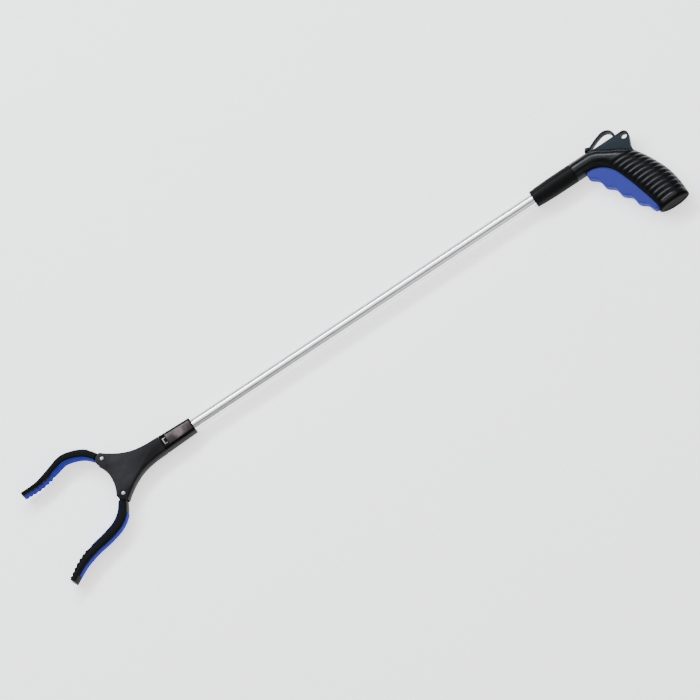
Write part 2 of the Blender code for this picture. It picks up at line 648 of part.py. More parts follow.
def fin_outline():
    """Plate above the hump: along the top, round the hang eye, down to the grip and back inside the shell."""
    lip = arc(EYE, EYE_LIP_R, 88, -38, 8)
    lower = [bend_point(degrees, FIN_INSET) for degrees in (10, 20, 30, 40, 55, 70, 80)]
    return [(604.0, FIN_TOP), (640.0, FIN_TOP)] + lip + [(645.6, -11.0), (646.0, -17.0)] + lower


def make_shell(name, side, look):
    made = node(name, place_z(loft(handle_rings()), side), look, DESIGN)
    slot = [(603.6, 30.0), (665.0, 30.0), (665.0, -11.0), (650.5, -11.0), (647.5, -17.5), (643.8, -17.5)]
    slot += [bend_point(degrees, FIN_INSET + 0.35) for degrees in (5, 10, 20, 30, 40, 55, 70, 80)]
    slot += [(603.6, 7.9)]
    cut(made, prism(slot, -FIN_Z - GAP, FIN_Z + GAP))
    join(made, place_z(prism(skirt_outline(), SKIRT_INSIDE, SKIRT_OUTSIDE), side))
    for x, y, top in SCREWS:
        join(made, place_z(disc((x, y), 3.3, 0.15, top, 20), side))
    join(made, place_z(disc(TRIGGER_PIVOT, 3.4, TRIGGER_Z + 0.4, 10.2, 20), side))
    cut(made, place_z(disc(TRIGGER_PIVOT, 2.0, 0.0, 9.3, 20), side))
    for x, y, top in SCREWS:
        if side > 0:
            cut(made, disc((x, y), 1.3, -1.0, 7.5, 16))
        else:
            cut(made, standing([(1.0, 1.5), (-top + 0.8, 1.5), (-top + 0.8, 2.9), (-20.0, 2.9)], (x, y), 20))
    return made


def make_handle():
    gloss = material("handle_gloss_black", (0.035, 0.038, 0.042), 0.22)
    matt = material("sleeve_matt_black", (0.035, 0.035, 0.037), 0.5)
    plate = material("plate_grey_black", (0.06, 0.066, 0.07), 0.35)
    steel = material("screw_steel", (0.5, 0.5, 0.51), 0.3, 1.0)
    make_shell("handle_shell_front", 1, gloss)
    make_shell("handle_shell_back", -1, gloss)
    sleeve = pipe([(SLEEVE_FRONT, 8.6), (SLEEVE_FRONT + 1.6, 9.6), (536.0, 9.9), (552.0, 10.5),
                   (SEAM_X - 0.1, BARREL_R)], TUBE_R + 0.25, 36)
    made = node("barrel_sleeve", sleeve, matt, DESIGN)
    cut(made, turned([(SHELL_FRONT - 0.4, SPIGOT_R + 0.25), (SEAM_X + 1, SPIGOT_R + 0.25)], 36))
    make_hang_plate(plate)
    make_end_cap(gloss)
    for index, (x, y, top) in enumerate(SCREWS, 1):
        profile = [(-top - 0.6, 2.2), (-top - 0.2, 2.6), (-top + 0.6, 2.6), (-top + 0.6, 1.1), (6.5, 1.1)]
        node(f"shell_screw_{index}", standing(profile, (x, y), 16), steel, DESIGN)
    node("trigger_pin", standing([(-9.1, 1.75), (9.1, 1.75)], TRIGGER_PIVOT, 20), steel, DESIGN)


def make_hang_plate(look):
    """Flat plate with the hang eye, and the belt clip that springs back over the sleeve."""
    made = node("hang_plate", prism(fin_outline(), -FIN_Z, FIN_Z), look, DESIGN)
    cut(made, disc(EYE, EYE_R, -9, 9, 28))
    middle = spline([(636.0, 6.0), (636.7, 11.4), (634.6, 16.3), (628.5, 18.7), (620.0, 16.8),
                     (608.0, 11.8)], 4)
    outward = normals_of(middle, -1)
    thick = np.interp(np.linspace(0, 1, len(middle)), [0, 0.25, 0.5, 1], [3.2, 2.4, 1.8, 1.5])
    rings = [bar_ring(np.array(p) - n * t / 2, np.array(p) + n * t / 2, FIN_Z, 0.25)
             for p, n, t in zip(middle, outward, thick)]
    join(made, loft(rings))
    barb = [(601.2, 11.0), (608.4, 11.1), (609.2, 12.6), (604.6, 14.4), (603.6, 14.2)]
    join(made, prism(barb, -FIN_Z, FIN_Z))


def cap_ring(y, inset):
    (middle, _), _, half, depth = grip_section(max(y, -91.0))
    row = []
    for angle in np.radians(np.arange(0, 360, 10)):
        row.append((middle + (half - inset) * math.cos(angle), y, (depth - inset) * math.sin(angle)))
    return row


def make_end_cap(look):
    made = node("grip_end_cap", loft([cap_ring(SHELL_BOTTOM - GAP, 0.4), cap_ring(SHELL_BOTTOM - 0.8, 0.0),
                                      cap_ring(CAP_BOTTOM + 1.4, 0.1), cap_ring(CAP_BOTTOM + 0.4, 0.7),
                                      cap_ring(CAP_BOTTOM, 2.0)]), look, DESIGN)
    plug = [(648.0, SHELL_BOTTOM - 1.0), (662.0, SHELL_BOTTOM - 1.0), (662.0, -84.0), (648.0, -84.0)]
    join(made, prism(plug, -7.0, 7.0))


# ---------------------------------------------------------------- trigger
def trigger_front():
    """Finger side: a slanting line with a wave of one finger's pitch."""
    start, along, outward = np.array((589.6, -6.6)), np.array((0.443, -0.897)), np.array((-0.897, -0.443))
    line = []
    for run in np.arange(7.0, 84.1, 2.2):
        wave = 2.3 - 0.033 * run + FINGER_DEEP * math.cos(2 * math.pi * (run - 9.0) / FINGER_PITCH)
        line.append(tuple(start + along * run + outward * wave))
    return line


def make_trigger():
    blue = material("trigger_blue", (0.07, 0.1, 0.44), 0.38)
    steel = material("link_pin_steel", (0.6, 0.6, 0.61), 0.25, 1.0)
    outline = [(595.0, -9.0), (591.4, -9.8)] + trigger_front() + [(629.6, -85.6), (632.0, -86.6)]
    outline += arc(TRIGGER_PIVOT, 5.0, 262, 372, 9)
    outline += spline([(646.5, -74.0), (641.0, -60.0), (634.5, -44.0), (626.0, -27.5), (616.5, -14.5),
                       (608.0, -9.4)], 3)
    body = prism(outline, -TRIGGER_Z, TRIGGER_Z)
    rim = [edge for edge in body.edges if abs(edge.verts[0].co.z - edge.verts[1].co.z) < 0.01]
    made = node("trigger", bevelled(body, rim, 1.2), blue, TRIGGER)
    ears = arc(LINK, 2.6, 0, 180, 10) + [(590.8, -12.0), (600.0, -12.0)]
    join(made, prism(ears, -4.2, 4.2))
    rod_slot = [(580.0, -12.5), (590.4, -12.5), (590.4, -17.0), (600.6, -17.0), (600.6, 4.0), (580.0, 4.0)]
    cut(made, prism(rod_slot, -2.1, 2.1))
    cut(made, disc(LINK, LINK_R + 0.15, -9, 9, 20))
    cut(made, disc(TRIGGER_PIVOT, 2.0, -9, 9, 20))
    node("link_pin", standing([(-4.6, LINK_R), (4.6, LINK_R)], LINK, 16), steel, TRIGGER)


# ---------------------------------------------------------------- whole object
make_shaft()
make_rod_end()
make_collar()
make_head()
make_crosshead()
make_jaw(1, "upper")
make_jaw(-1, "lower")
make_handle()
make_trigger()


def centre_on_base():
    """Puts the frame's origin under the middle of the object, on the surface it lies on."""
    bpy.context.view_layer.update()
    graph = bpy.context.evaluated_depsgraph_get()
    low, high = Vector((1e9,) * 3), Vector((-1e9,) * 3)
    for obj in bpy.data.objects:
        if obj.type != "MESH" or obj.hide_render:
            continue
        seen = obj.evaluated_get(graph)
        for corner in seen.data.vertices:
            point = seen.matrix_world @ corner.co
            low = Vector(map(min, low, point))
            high = Vector(map(max, high, point))
    DESIGN.location = (-(low.x + high.x) / 2, -(low.y + high.y) / 2, -low.z)


centre_on_base()
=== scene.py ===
"""Looks of the reacher grabber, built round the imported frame.

Shapes are written in the design's millimetres (X along the tube from the jaw rivets, Y towards the hang
eye, Z the jaws' width) and moved into the row frame when a mesh is made.
"""
import json
import math

import bmesh
import bpy
import numpy as np
from mathutils import Matrix, Vector


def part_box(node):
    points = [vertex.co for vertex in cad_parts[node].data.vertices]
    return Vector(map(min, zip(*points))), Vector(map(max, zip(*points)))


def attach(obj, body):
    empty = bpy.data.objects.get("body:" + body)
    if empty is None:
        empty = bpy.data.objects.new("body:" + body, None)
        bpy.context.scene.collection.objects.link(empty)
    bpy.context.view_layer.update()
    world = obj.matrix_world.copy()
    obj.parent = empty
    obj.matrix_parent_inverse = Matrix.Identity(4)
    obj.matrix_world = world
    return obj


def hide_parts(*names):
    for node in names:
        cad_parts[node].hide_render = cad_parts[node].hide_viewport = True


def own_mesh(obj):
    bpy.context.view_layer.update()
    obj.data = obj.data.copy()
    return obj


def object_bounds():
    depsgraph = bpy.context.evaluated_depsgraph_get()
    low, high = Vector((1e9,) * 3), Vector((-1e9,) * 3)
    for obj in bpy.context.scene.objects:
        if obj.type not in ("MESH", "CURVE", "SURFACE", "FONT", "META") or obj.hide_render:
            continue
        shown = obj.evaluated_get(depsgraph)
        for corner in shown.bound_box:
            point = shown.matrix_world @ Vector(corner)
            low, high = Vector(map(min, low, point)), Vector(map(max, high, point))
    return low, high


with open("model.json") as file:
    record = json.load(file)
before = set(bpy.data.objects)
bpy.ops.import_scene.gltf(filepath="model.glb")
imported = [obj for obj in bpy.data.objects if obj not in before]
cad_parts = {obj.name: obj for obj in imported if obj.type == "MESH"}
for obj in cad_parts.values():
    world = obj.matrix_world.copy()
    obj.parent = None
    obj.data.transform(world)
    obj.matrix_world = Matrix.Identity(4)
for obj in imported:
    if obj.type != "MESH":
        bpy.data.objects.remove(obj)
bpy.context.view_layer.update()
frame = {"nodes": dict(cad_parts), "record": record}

MM = 0.001
WELD = 0.01  # millimetres; a cut leaves points closer than this, which would spoil the next cut
RECORD = frame["record"]
BODY_OF = {node: name for name, body in RECORD["behaviour"]["bodies"].items()
           for node in (body["nodes"] if isinstance(body, dict) else body)}


def middle_of(node):
    low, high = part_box(node)
    return (Vector(low) + Vector(high)) / 2


# The design's zero is halfway between the two jaw rivets.
ORIGIN = (middle_of("rivet_upper") + middle_of("rivet_lower")) / 2


# ---------------------------------------------------------------- mesh tools
def place(body):
    """Design millimetres to row metres."""
    for vertex in body.verts:
        vertex.co = vertex.co * MM + ORIGIN
    return body


def to_object(name, body):
    bmesh.ops.recalc_face_normals(body, faces=body.faces)
    mesh = bpy.data.meshes.new(name)
    place(body).to_mesh(mesh)
    body.free()
    made = bpy.data.objects.new(name, mesh)
    bpy.context.scene.collection.objects.link(made)
    return made


def piece(name, body, look, node, smooth=35, also=()):
    """A finished piece that stands for a CAD node and rides on its body."""
    made = to_object(name, body)
    made.data.materials.append(look)
    made.data.shade_smooth()
    made.data.set_sharp_from_angle(angle=math.radians(smooth))
    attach(made, BODY_OF[node])
    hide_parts(node, *also)
    return made


def carve(target, tool_body, operation="DIFFERENCE", smooth=35):
    """Cuts a shape away from a piece, or adds it, and keeps the result as the piece's own mesh."""
    tool = to_object("carving_tool", tool_body)
    modifier = target.modifiers.new("carve", "BOOLEAN")
    modifier.object = tool
    modifier.operation = operation
    modifier.solver = "EXACT"
    bpy.context.view_layer.update()
    seen = target.evaluated_get(bpy.context.evaluated_depsgraph_get())
    mesh = bpy.data.meshes.new_from_object(seen)
    target.modifiers.remove(modifier)
    welded = bmesh.new()
    welded.from_mesh(mesh)
    bmesh.ops.remove_doubles(welded, verts=welded.verts, dist=WELD * MM)
    welded.to_mesh(mesh)
    welded.free()
    old = target.data
    target.data = mesh
    bpy.data.meshes.remove(old)
    bpy.data.objects.remove(tool, do_unlink=True)
    mesh.shade_smooth()
    mesh.set_sharp_from_angle(angle=math.radians(smooth))


def loft(rings, closed=False, caps=True):
    """A body through rings of points that all have the same count."""
    body = bmesh.new()
    layers = [[body.verts.new(point) for point in ring] for ring in rings]
    pairs = list(zip(layers, layers[1:]))
    if closed:
        pairs.append((layers[-1], layers[0]))
    for here, there in pairs:
        for index in range(len(here)):
            after = (index + 1) % len(here)
            body.faces.new((here[index], here[after], there[after], there[index]))
    if caps and not closed:
        body.faces.new(layers[0])
        body.faces.new(layers[-1][::-1])
    return body


def arc(centre, radius, start, end, steps):
    angles = np.radians(np.linspace(start, end, steps + 1))
    return [(centre[0] + radius * math.cos(a), centre[1] + radius * math.sin(a)) for a in angles]


def circle(centre, radius, steps):
    return arc(centre, radius, 0, 360 * (1 - 1 / steps), steps - 1)


def prism(outline, low, high):
    top = high if callable(high) else lambda x: high
    return loft([[(x, y, low) for x, y in outline], [(x, y, top(x)) for x, y in outline]])


def standing(profile, centre, steps=48):
    """Solid turned about a line along Z: profile is (z, radius)."""
    return loft([[(x, y, z) for x, y in circle(centre, radius, steps)] for z, radius in profile])


def spline(points, per_span):
    """Catmull-Rom curve through the points."""
    points = [np.array(p, float) for p in points]
    padded = [2 * points[0] - points[1], *points, 2 * points[-1] - points[-2]]
    curve = []
    for index in range(1, len(padded) - 2):
        a, b, c, d = padded[index - 1:index + 3]
        for t in np.arange(per_span) / per_span:
            curve.append(0.5 * (2 * b + (c - a) * t + (2 * a - 5 * b + 4 * c - d) * t * t
                                + (3 * b - a - 3 * c + d) * t ** 3))
    curve.append(points[-1])
    return [tuple(p) for p in curve]


def normals_of(path, sign):
    """Unit normals of a path in X and Y, turned left for sign 1 and right for sign -1."""
    points = np.array(path)
    along = np.gradient(points, axis=0)
    along /= np.linalg.norm(along, axis=1)[:, None]
    return sign * np.stack([-along[:, 1], along[:, 0]], 1)


def inward_of(outline):
    """Mitred inward direction at each point of a closed outline."""
    points = np.array(outline, float)
    before = points - np.roll(points, 1, axis=0)
    after = np.roll(points, -1, axis=0) - points
    before /= np.linalg.norm(before, axis=1)[:, None]
    after /= np.linalg.norm(after, axis=1)[:, None]
    area = np.sum(points[:, 0] * np.roll(points[:, 1], -1) - points[:, 1] * np.roll(points[:, 0], -1))
    turn = 1.0 if area > 0 else -1.0
    side_a = turn * np.stack([-before[:, 1], before[:, 0]], 1)
    side_b = turn * np.stack([-after[:, 1], after[:, 0]], 1)
    mitre = side_a + side_b
    length = np.sum(mitre * mitre, axis=1) / 2
    return mitre / np.maximum(length, 0.7)[:, None]


def slab(outline, low, high, radius, steps=4, amount=None, bottom=True, rim=None, keep_x=None):
    """An outline raised along Z with rounded rims, or with a rim given as (inset, drop) pairs.

    amount scales the rim at each point, and points at keep_x stay on that X."""
    points = np.array(outline, float)
    inward = inward_of(outline)
    if keep_x is not None:
        inward[points[:, 0] > keep_x - 0.01, 0] = 0.0
    amount = np.ones(len(points)) if amount is None else np.array(amount)
    top = high if callable(high) else lambda x: high
    if rim is None:
        turns = np.radians(np.linspace(0, 90, steps + 1))
        rim = [(radius * (1 - math.cos(a)), radius * (1 - math.sin(a))) for a in turns]
    else:
        bottom = False
    layers = [(inset, True, drop) for inset, drop in rim[::-1]] if bottom else [(0.0, True, 0.0)]
    layers += [(inset, False, drop) for inset, drop in rim]
    rings = []
    for inset, is_low, drop in layers:
        ring = []
        for p, n, k in zip(points, inward, amount):
            x, y = p + n * inset * k
            ring.append((x, y, low + drop * k if is_low else top(x) - drop * k))
        rings.append(ring)
    return loft(rings)


def softened(body, width, segments=3):
    """Rounds every edge of a simple body."""
    bmesh.ops.bevel(body, geom=body.edges[:], offset=width, segments=segments, profile=0.5, affect="EDGES",
                    clamp_overlap=True)
    return body


def revolve(profile, steps):
    """A closed profile of (x, radius) turned about the tube's axis."""
    return loft([[(x, a, b) for a, b in circle((0, 0), radius, steps)] for x, radius in profile], closed=True)


def place_z(body, side):
    if side < 0:
        for vertex in body.verts:
            vertex.co.z = -vertex.co.z
    return body


def turn(point, degrees):
    c, s = math.cos(math.radians(degrees)), math.sin(math.radians(degrees))
    return point[0] * c - point[1] * s, point[0] * s + point[1] * c


def hull_outline(points):
    """Convex outline round some points."""
    ordered = sorted(set((round(x, 4), round(y, 4)) for x, y in points))

    def side(sequence):
        chain = []
        for p in sequence:
            while len(chain) > 1 and ((chain[-1][0] - chain[-2][0]) * (p[1] - chain[-2][1])
                                      - (chain[-1][1] - chain[-2][1]) * (p[0] - chain[-2][0])) <= 0:
                chain.pop()
            chain.append(p)
        return chain[:-1]

    return side(ordered) + side(ordered[::-1])


# ---------------------------------------------------------------- materials
class Look:
    """A Principled material with a helper for its procedural nodes."""

    def __init__(self, name, colour, roughness, **sockets):
        self.material = bpy.data.materials.new(name)
        self.material.use_nodes = True
        self.tree = self.material.node_tree
        self.shader = self.tree.nodes["Principled BSDF"]
        self.colour = (*colour, 1.0)
        self.material.diffuse_color = self.colour
        self.shader.inputs["Base Color"].default_value = self.colour
        self.shader.inputs["Roughness"].default_value = roughness
        self.roughness = roughness
        for socket, value in sockets.items():
            self.shader.inputs[socket.replace("_", " ")].default_value = value
        self.coordinates = self.node("ShaderNodeTexCoord").outputs["Object"]
        self.height = None

    def node(self, kind, **settings):
        made = self.tree.nodes.new(kind)
        for key, value in settings.items():
            setattr(made, key, value)
        return made

    def link(self, source, target):
        self.tree.links.new(source, target)

    def noise(self, scale, detail=3.0, stretch=(1, 1, 1), roughness=0.55):
        mapping = self.node("ShaderNodeMapping")
        mapping.inputs["Scale"].default_value = stretch
        self.link(self.coordinates, mapping.inputs["Vector"])
        texture = self.node("ShaderNodeTexNoise")
        texture.inputs["Scale"].default_value = scale
        texture.inputs["Detail"].default_value = detail
        texture.inputs["Roughness"].default_value = roughness
        self.link(mapping.outputs["Vector"], texture.inputs["Vector"])
        return texture.outputs["Fac"]

    def spread(self, value, low, high, out_low, out_high):
        """Maps a span of a texture's value to another span."""
        ranged = self.node("ShaderNodeMapRange")
        sockets = ("From Min", "From Max", "To Min", "To Max")
        for socket, number in zip(sockets, (low, high, out_low, out_high)):
            ranged.inputs[socket].default_value = number
        self.link(value, ranged.inputs["Value"])
        return ranged.outputs["Result"]

    def maths(self, operation, a, b):
        made = self.node("ShaderNodeMath", operation=operation)
        for socket, value in zip(made.inputs, (a, b)):
            if isinstance(value, (int, float)):
                socket.default_value = value
            else:
                self.link(value, socket)
        return made.outputs[0]

    def tint(self, share, other):
        """Mixes another colour over the present one where share is high."""
        mix = self.node("ShaderNodeMix", data_type="RGBA")
        self.link(share, mix.inputs["Factor"])
        socket = self.shader.inputs["Base Color"]
        if socket.is_linked:
            self.link(socket.links[0].from_socket, mix.inputs["A"])
        else:
            mix.inputs["A"].default_value = socket.default_value
        mix.inputs["B"].default_value = (*other, 1.0)
        self.link(mix.outputs["Result"], socket)

    def near(self, point, inner, outer):
        """1 within inner millimetres of a point of the design, falling to 0 at outer."""
        span = self.node("ShaderNodeVectorMath", operation="DISTANCE")
        self.link(self.coordinates, span.inputs[0])
        span.inputs[1].default_value = tuple(Vector(point) * MM + ORIGIN)
        return self.spread(span.outputs["Value"], inner * MM, outer * MM, 1.0, 0.0)

    def rough(self, value):
        self.link(value, self.shader.inputs["Roughness"])

    def bump(self, value, distance, strength=1.0):
        """Adds a height, in metres, to the surface's bump."""
        made = self.node("ShaderNodeBump")
        made.inputs["Strength"].default_value = strength
        made.inputs["Distance"].default_value = distance
        self.link(value, made.inputs["Height"])
        if self.height:
            self.link(self.height, made.inputs["Normal"])
        self.height = made.outputs["Normal"]
        self.link(self.height, self.shader.inputs["Normal"])

    def worn_edges(self, other, low=0.56, high=0.7, amount=0.6):
        """Paler convex edges, broken up by a noise."""
        edge = self.node("ShaderNodeNewGeometry").outputs["Pointiness"]
        sharp = self.spread(edge, low, high, 0.0, 1.0)
        broken = self.spread(self.noise(420, 4), 0.35, 0.75, 0.2, 1.0)
        self.tint(self.maths("MULTIPLY", self.maths("MULTIPLY", sharp, broken), amount), other)


def moulded(name, colour, roughness, paler, grain=0.00002, mottle=0.35, painted_face_sheen=None, painted_sheen=None, **sockets):
    """Moulded plastic: fine grain, soft flow marks, uneven gloss and rubbed edges.

    The flat-side colour paints a sheen on the sides that face along Z; the patch given as (point, inner,
    outer, amount) is a painted highlight in the paler colour."""
    look = Look(name, colour, roughness, **sockets)
    # Painted sheen: sides whose normal lies along Z, up or down, get the paler colour given for them.
    if painted_face_sheen:
        axes = look.node("ShaderNodeSeparateXYZ")
        look.link(look.node("ShaderNodeTexCoord").outputs["Normal"], axes.inputs["Vector"])
        look.tint(look.spread(look.maths("ABSOLUTE", axes.outputs["Z"], 0.0), 0.75, 0.97, 0.0, 1.0), painted_face_sheen)
    look.tint(look.spread(look.noise(38, 3, (0.35, 1, 1)), 0.35, 0.75, 0.0, mottle), paler)
    # Painted highlight: a patch of the paler colour round a point of the design, broken up by a noise.
    if painted_sheen:
        point, inner, outer, amount = painted_sheen
        cloud = look.spread(look.noise(110, 4), 0.35, 0.65, 0.25, 1.0)
        patch = look.maths("MULTIPLY", look.near(point, inner, outer), cloud)
        look.tint(look.maths("MULTIPLY", patch, amount), paler)
    smear = look.spread(look.noise(75, 4, (0.5, 1, 1)), 0.3, 0.7, -0.07, 0.07)
    speckle = look.spread(look.noise(1500, 2), 0.3, 0.7, -0.03, 0.03)
    look.rough(look.maths("ADD", look.maths("ADD", smear, speckle), roughness))
    look.bump(look.noise(2600, 3), grain)
    look.bump(look.noise(60, 2), 0.00006)
    look.worn_edges(paler)
    return look.material


def metal(name, colour, roughness, stretch=(0.02, 1, 1), scratch=0.00001, **sockets):
    """Drawn or turned metal: fine lines one way, a few scuffs and a slightly uneven tone."""
    look = Look(name, colour, roughness, Metallic=1.0, **sockets)
    lines = look.noise(4200, 3, stretch)
    scuffs = look.noise(260, 5, (0.25, 1, 1))
    tone = look.spread(look.noise(26, 3, (0.3, 1, 1)), 0.3, 0.75, 0.0, 0.25)
    look.tint(tone, tuple(c * 0.8 for c in colour))
    drawn = look.spread(lines, 0.3, 0.7, -0.05, 0.05)
    scuffed = look.spread(scuffs, 0.55, 0.8, 0.0, 0.12)
    look.rough(look.maths("ADD", look.maths("ADD", drawn, scuffed), roughness))
    look.bump(lines, scratch)
    return look.material


def rubber(name, colour, paler, roughness=0.62):
    """Soft blue rubber: matt, finely pitted, a little paler where it is rubbed."""
    look = Look(name, colour, roughness, Specular_IOR_Level=0.04)
    look.tint(look.spread(look.noise(55, 4), 0.4, 0.8, 0.0, 0.5), paler)
    look.rough(look.spread(look.noise(900, 3), 0.3, 0.7, roughness - 0.06, roughness + 0.08))
    look.bump(look.noise(2200, 3), 0.00003)
    look.bump(look.noise(300, 3), 0.00004)
    look.worn_edges(paler, amount=0.5)
    return look.material


LOOKS = {
    "leaf": metal("leaf_steel", (0.20, 0.17, 0.165), 0.36, (1, 1, 1)),
    "rivet": metal("rivet_steel", (0.46, 0.46, 0.47), 0.32, (1, 1, 1)),
    "tube": metal("anodised_tube", (0.95, 0.95, 0.955), 0.24, scratch=0.000006,
                  Specular_Tint=(0.2, 0.2, 0.21, 1.0)),
    "sleeve": moulded("sleeve_matt", (0.0035, 0.0036, 0.0038), 0.46, (0.009, 0.009, 0.01), 0.00003,
                      Specular_IOR_Level=0.07),
    "grip": moulded("grip_gloss", (0.0028, 0.0032, 0.0038), 0.27, (0.006, 0.007, 0.009), 0.00001,
                    Specular_IOR_Level=0.22),
    "skirt": moulded("skirt_matt", (0.0022, 0.0022, 0.002), 0.5, (0.005, 0.005, 0.0045),
                     Specular_IOR_Level=0.04),
    # The plate's flat sides carry a painted sheen, paler and bluer than its dark walls.
    "plate": moulded("plate_satin", (0.0025, 0.003, 0.0035), 0.36, (0.007, 0.010, 0.013), mottle=0.3,
                     painted_face_sheen=(0.021, 0.029, 0.037), Specular_IOR_Level=0.03),
    "trigger": moulded("trigger_blue_satin", (0.038, 0.044, 0.27), 0.5, (0.046, 0.053, 0.3), 0.000012,
                       Specular_IOR_Level=0.03),
    "head": moulded("head_satin", (0.0036, 0.0031, 0.0032), 0.36, (0.065, 0.06, 0.066), 0.00002, 0.3,
                    Specular_IOR_Level=0.05),
    "collar": moulded("collar_gloss", (0.0035, 0.0034, 0.0034), 0.28, (0.009, 0.009, 0.009), 0.00001,
                      Specular_IOR_Level=0.04),
    # The smoked panel carries a painted highlight: a pale pink patch round a point near its middle.
    "panel": moulded("panel_smoke", (0.014, 0.0115, 0.0115), 0.2, (0.26, 0.19, 0.19), 0.000006, 0.12,
                     painted_sheen=((85.0, -0.5, 7.6), 2.5, 9.5, 0.9), Specular_IOR_Level=0.12),
    "jaw": moulded("jaw_satin", (0.003, 0.003, 0.0031), 0.42, (0.009, 0.009, 0.0085),
                   Specular_IOR_Level=0.035),
    "lining": rubber("lining_rubber", (0.013, 0.018, 0.25), (0.019, 0.026, 0.28)),
    "stripe": rubber("stripe_rubber", (0.013, 0.018, 0.25), (0.019, 0.026, 0.28), 0.5),
    "steel": metal("bright_steel", (0.74, 0.74, 0.75), 0.24, (1, 1, 1)),
    "spring": metal("spring_wire", (0.52, 0.52, 0.54), 0.3, (1, 1, 1)),
    "nylon": moulded("natural_nylon", (0.62, 0.61, 0.57), 0.45, (0.75, 0.74, 0.7)),
}
# The look of every CAD node, whether or not a detailed piece stands for it.
CARRIED = {
    "steel": ("pull_rod", "drive_pin", "link_pin", "trigger_pin", "spring_washer", "collar_rivet",
              "lock_leaf", "shell_screw_1", "shell_screw_2", "shell_screw_3", "rivet_upper", "rivet_lower"),
    "nylon": ("crosshead", "rod_guide"),
    "spring": ("return_spring",),
    "tube": ("tube",),
    "sleeve": ("barrel_sleeve",),
    "grip": ("handle_shell_front", "handle_shell_back", "grip_end_cap"),
    "plate": ("hang_plate",),
    "trigger": ("trigger",),
    "head": ("head_shell_front", "head_shell_back"),
    "collar": ("collar", "rod_end"),
    "panel": ("collar_panel",),
    "jaw": ("upper_jaw", "lower_jaw"),
    "lining": ("upper_jaw_pad", "lower_jaw_pad"),
    "stripe": ("upper_jaw_strip", "lower_jaw_strip"),
}
for look, nodes in CARRIED.items():
    for mesh in (frame["nodes"][node].data for node in nodes):
        if not mesh.materials:
            mesh.materials.append(None)
        for index in range(len(mesh.materials)):
            mesh.materials[index] = LOOKS[look]


# ------------------------------------------------------------ sizes of the design, in millimetres
# Names end in _R for a radius, _Z for a half width along Z, _X and _Y for a place.
GAP, HOLE_SLACK = 0.3, 0.25
TUBE_R, TUBE_WALL, TUBE_FRONT, TUBE_REAR = 6.35, 1.0, 74.0, 586.0
ROD_R = 1.5
# Spring and head: the crosshead's stroke, the rivets' height, the box, its concave front and its rivets.
SPRING_START, SPRING_END, SPRING_R, WIRE_R, SPRING_TURNS = 28.8, 50.9, 3.6, 0.45, 7
STROKE, PIVOT_Y = 14.0, 23.0
HEAD_REAR, HEAD_Z, NECK_Z, HEAD_WALL = 62.0, 6.5, 8.0, 1.6
CHAMFER = 1.7
BRANCH_R, JAW_ROOT_R = 7.4, 8.3
CONCAVE_R, CONCAVE_X = 43.3, -2.3
NOSE_R, GROOVE_R = 5.9, 4.7
PIN_R, PIN_X, PIN_Y = 1.7, 5.0, -5.0
RIVET_R, RIVET_LIFT = 1.7, 0.15
# A rivet's head as (height, radius), up over the dome and down into its dimple.
RIVET_DOME = [(0.0, RIVET_R), (0.0, 2.2), (0.25, 2.3), (0.6, 2.15), (0.85, 1.75), (1.02, 1.2), (1.05, 0.9),
              (0.8, 0.7), (0.62, 0.3)]
COLLAR_REAR, COLLAR_FRONT_HALF, COLLAR_REAR_HALF = 100.0, 8.9, 7.7
# Jaws by side, upper 1 and lower -1: swing, outer line from root to tip and thickness along it.
JAW_SWING = {1: 24.0, -1: 38.1}
JAW_OUTER = {
    1: [(3.0, 22.5), (-1.5, 31.3), (-9.0, 41.0), (-21.0, 48.2), (-37.0, 51.8), (-55.0, 46.8), (-73.0, 41.9),
        (-91.8, 41.3)],
    -1: [(3.0, -22.5), (-1.5, -31.3), (-9.0, -43.6), (-21.0, -52.4), (-38.0, -57.6), (-57.0, -61.0),
         (-75.0, -66.8), (-92.8, -76.6)],
}
JAW_THICK = {1: [4.5, 6.9, 7.3, 7.2, 7.0, 6.0, 3.6, 2.6], -1: [4.5, 7.4, 8.5, 8.3, 7.8, 7.1, 6.0, 4.0]}
JAW_HALF_ROOT, JAW_HALF_TIP = 6.2, 7.6
TONGUE_Z, TONGUE_R = 4.6, 9.0
ARM_LOW, ARM_HIGH = 1.5, 4.4
PAD_THICK, STRIP_THICK, STRIP_HALF = 1.5, 0.8, 5.0
TOOTH_PITCH, TOOTH_HIGH, TOOTH_COUNT = 5.0, 1.1, 7
FLANGE_LOW, FLANGE_HIGH, FLANGE_DROP = 6.2, 7.2, 0.35
PAD_CLEAR_R = 9.3
# Handle: barrel, the seam with the sleeve, the mouth that the trigger moves in, grip, ribs and end cap.
BARREL_R, SPIGOT_R, SHELL_WALL = 10.6, 8.3, 2.2
SLEEVE_FRONT, SEAM_X, SHELL_FRONT, MOUTH_X = 529.4, 580.4, 545.0, 590.9
MOUTH_HALF = 8.3
BEND = (601.0, -17.0)
SHELL_BOTTOM, CAP_BOTTOM = -87.4, -91.0
SKIRT_INSIDE, SKIRT_OUTSIDE = 7.0, 8.7
SKIRT_EDGE = [(590.9, -10.1), (594.4, -9.7), (598.2, -10.1), (603.9, -12.2), (609.0, -15.3), (612.8, -18.8),
              (616.2, -23.2), (619.2, -29.0), (625.0, -45.8), (629.3, -61.5), (633.1, -77.3), (634.6, -87.4)]
RIB_FIRST, RIB_PITCH, RIB_COUNT = -18.5, 5.75, 12
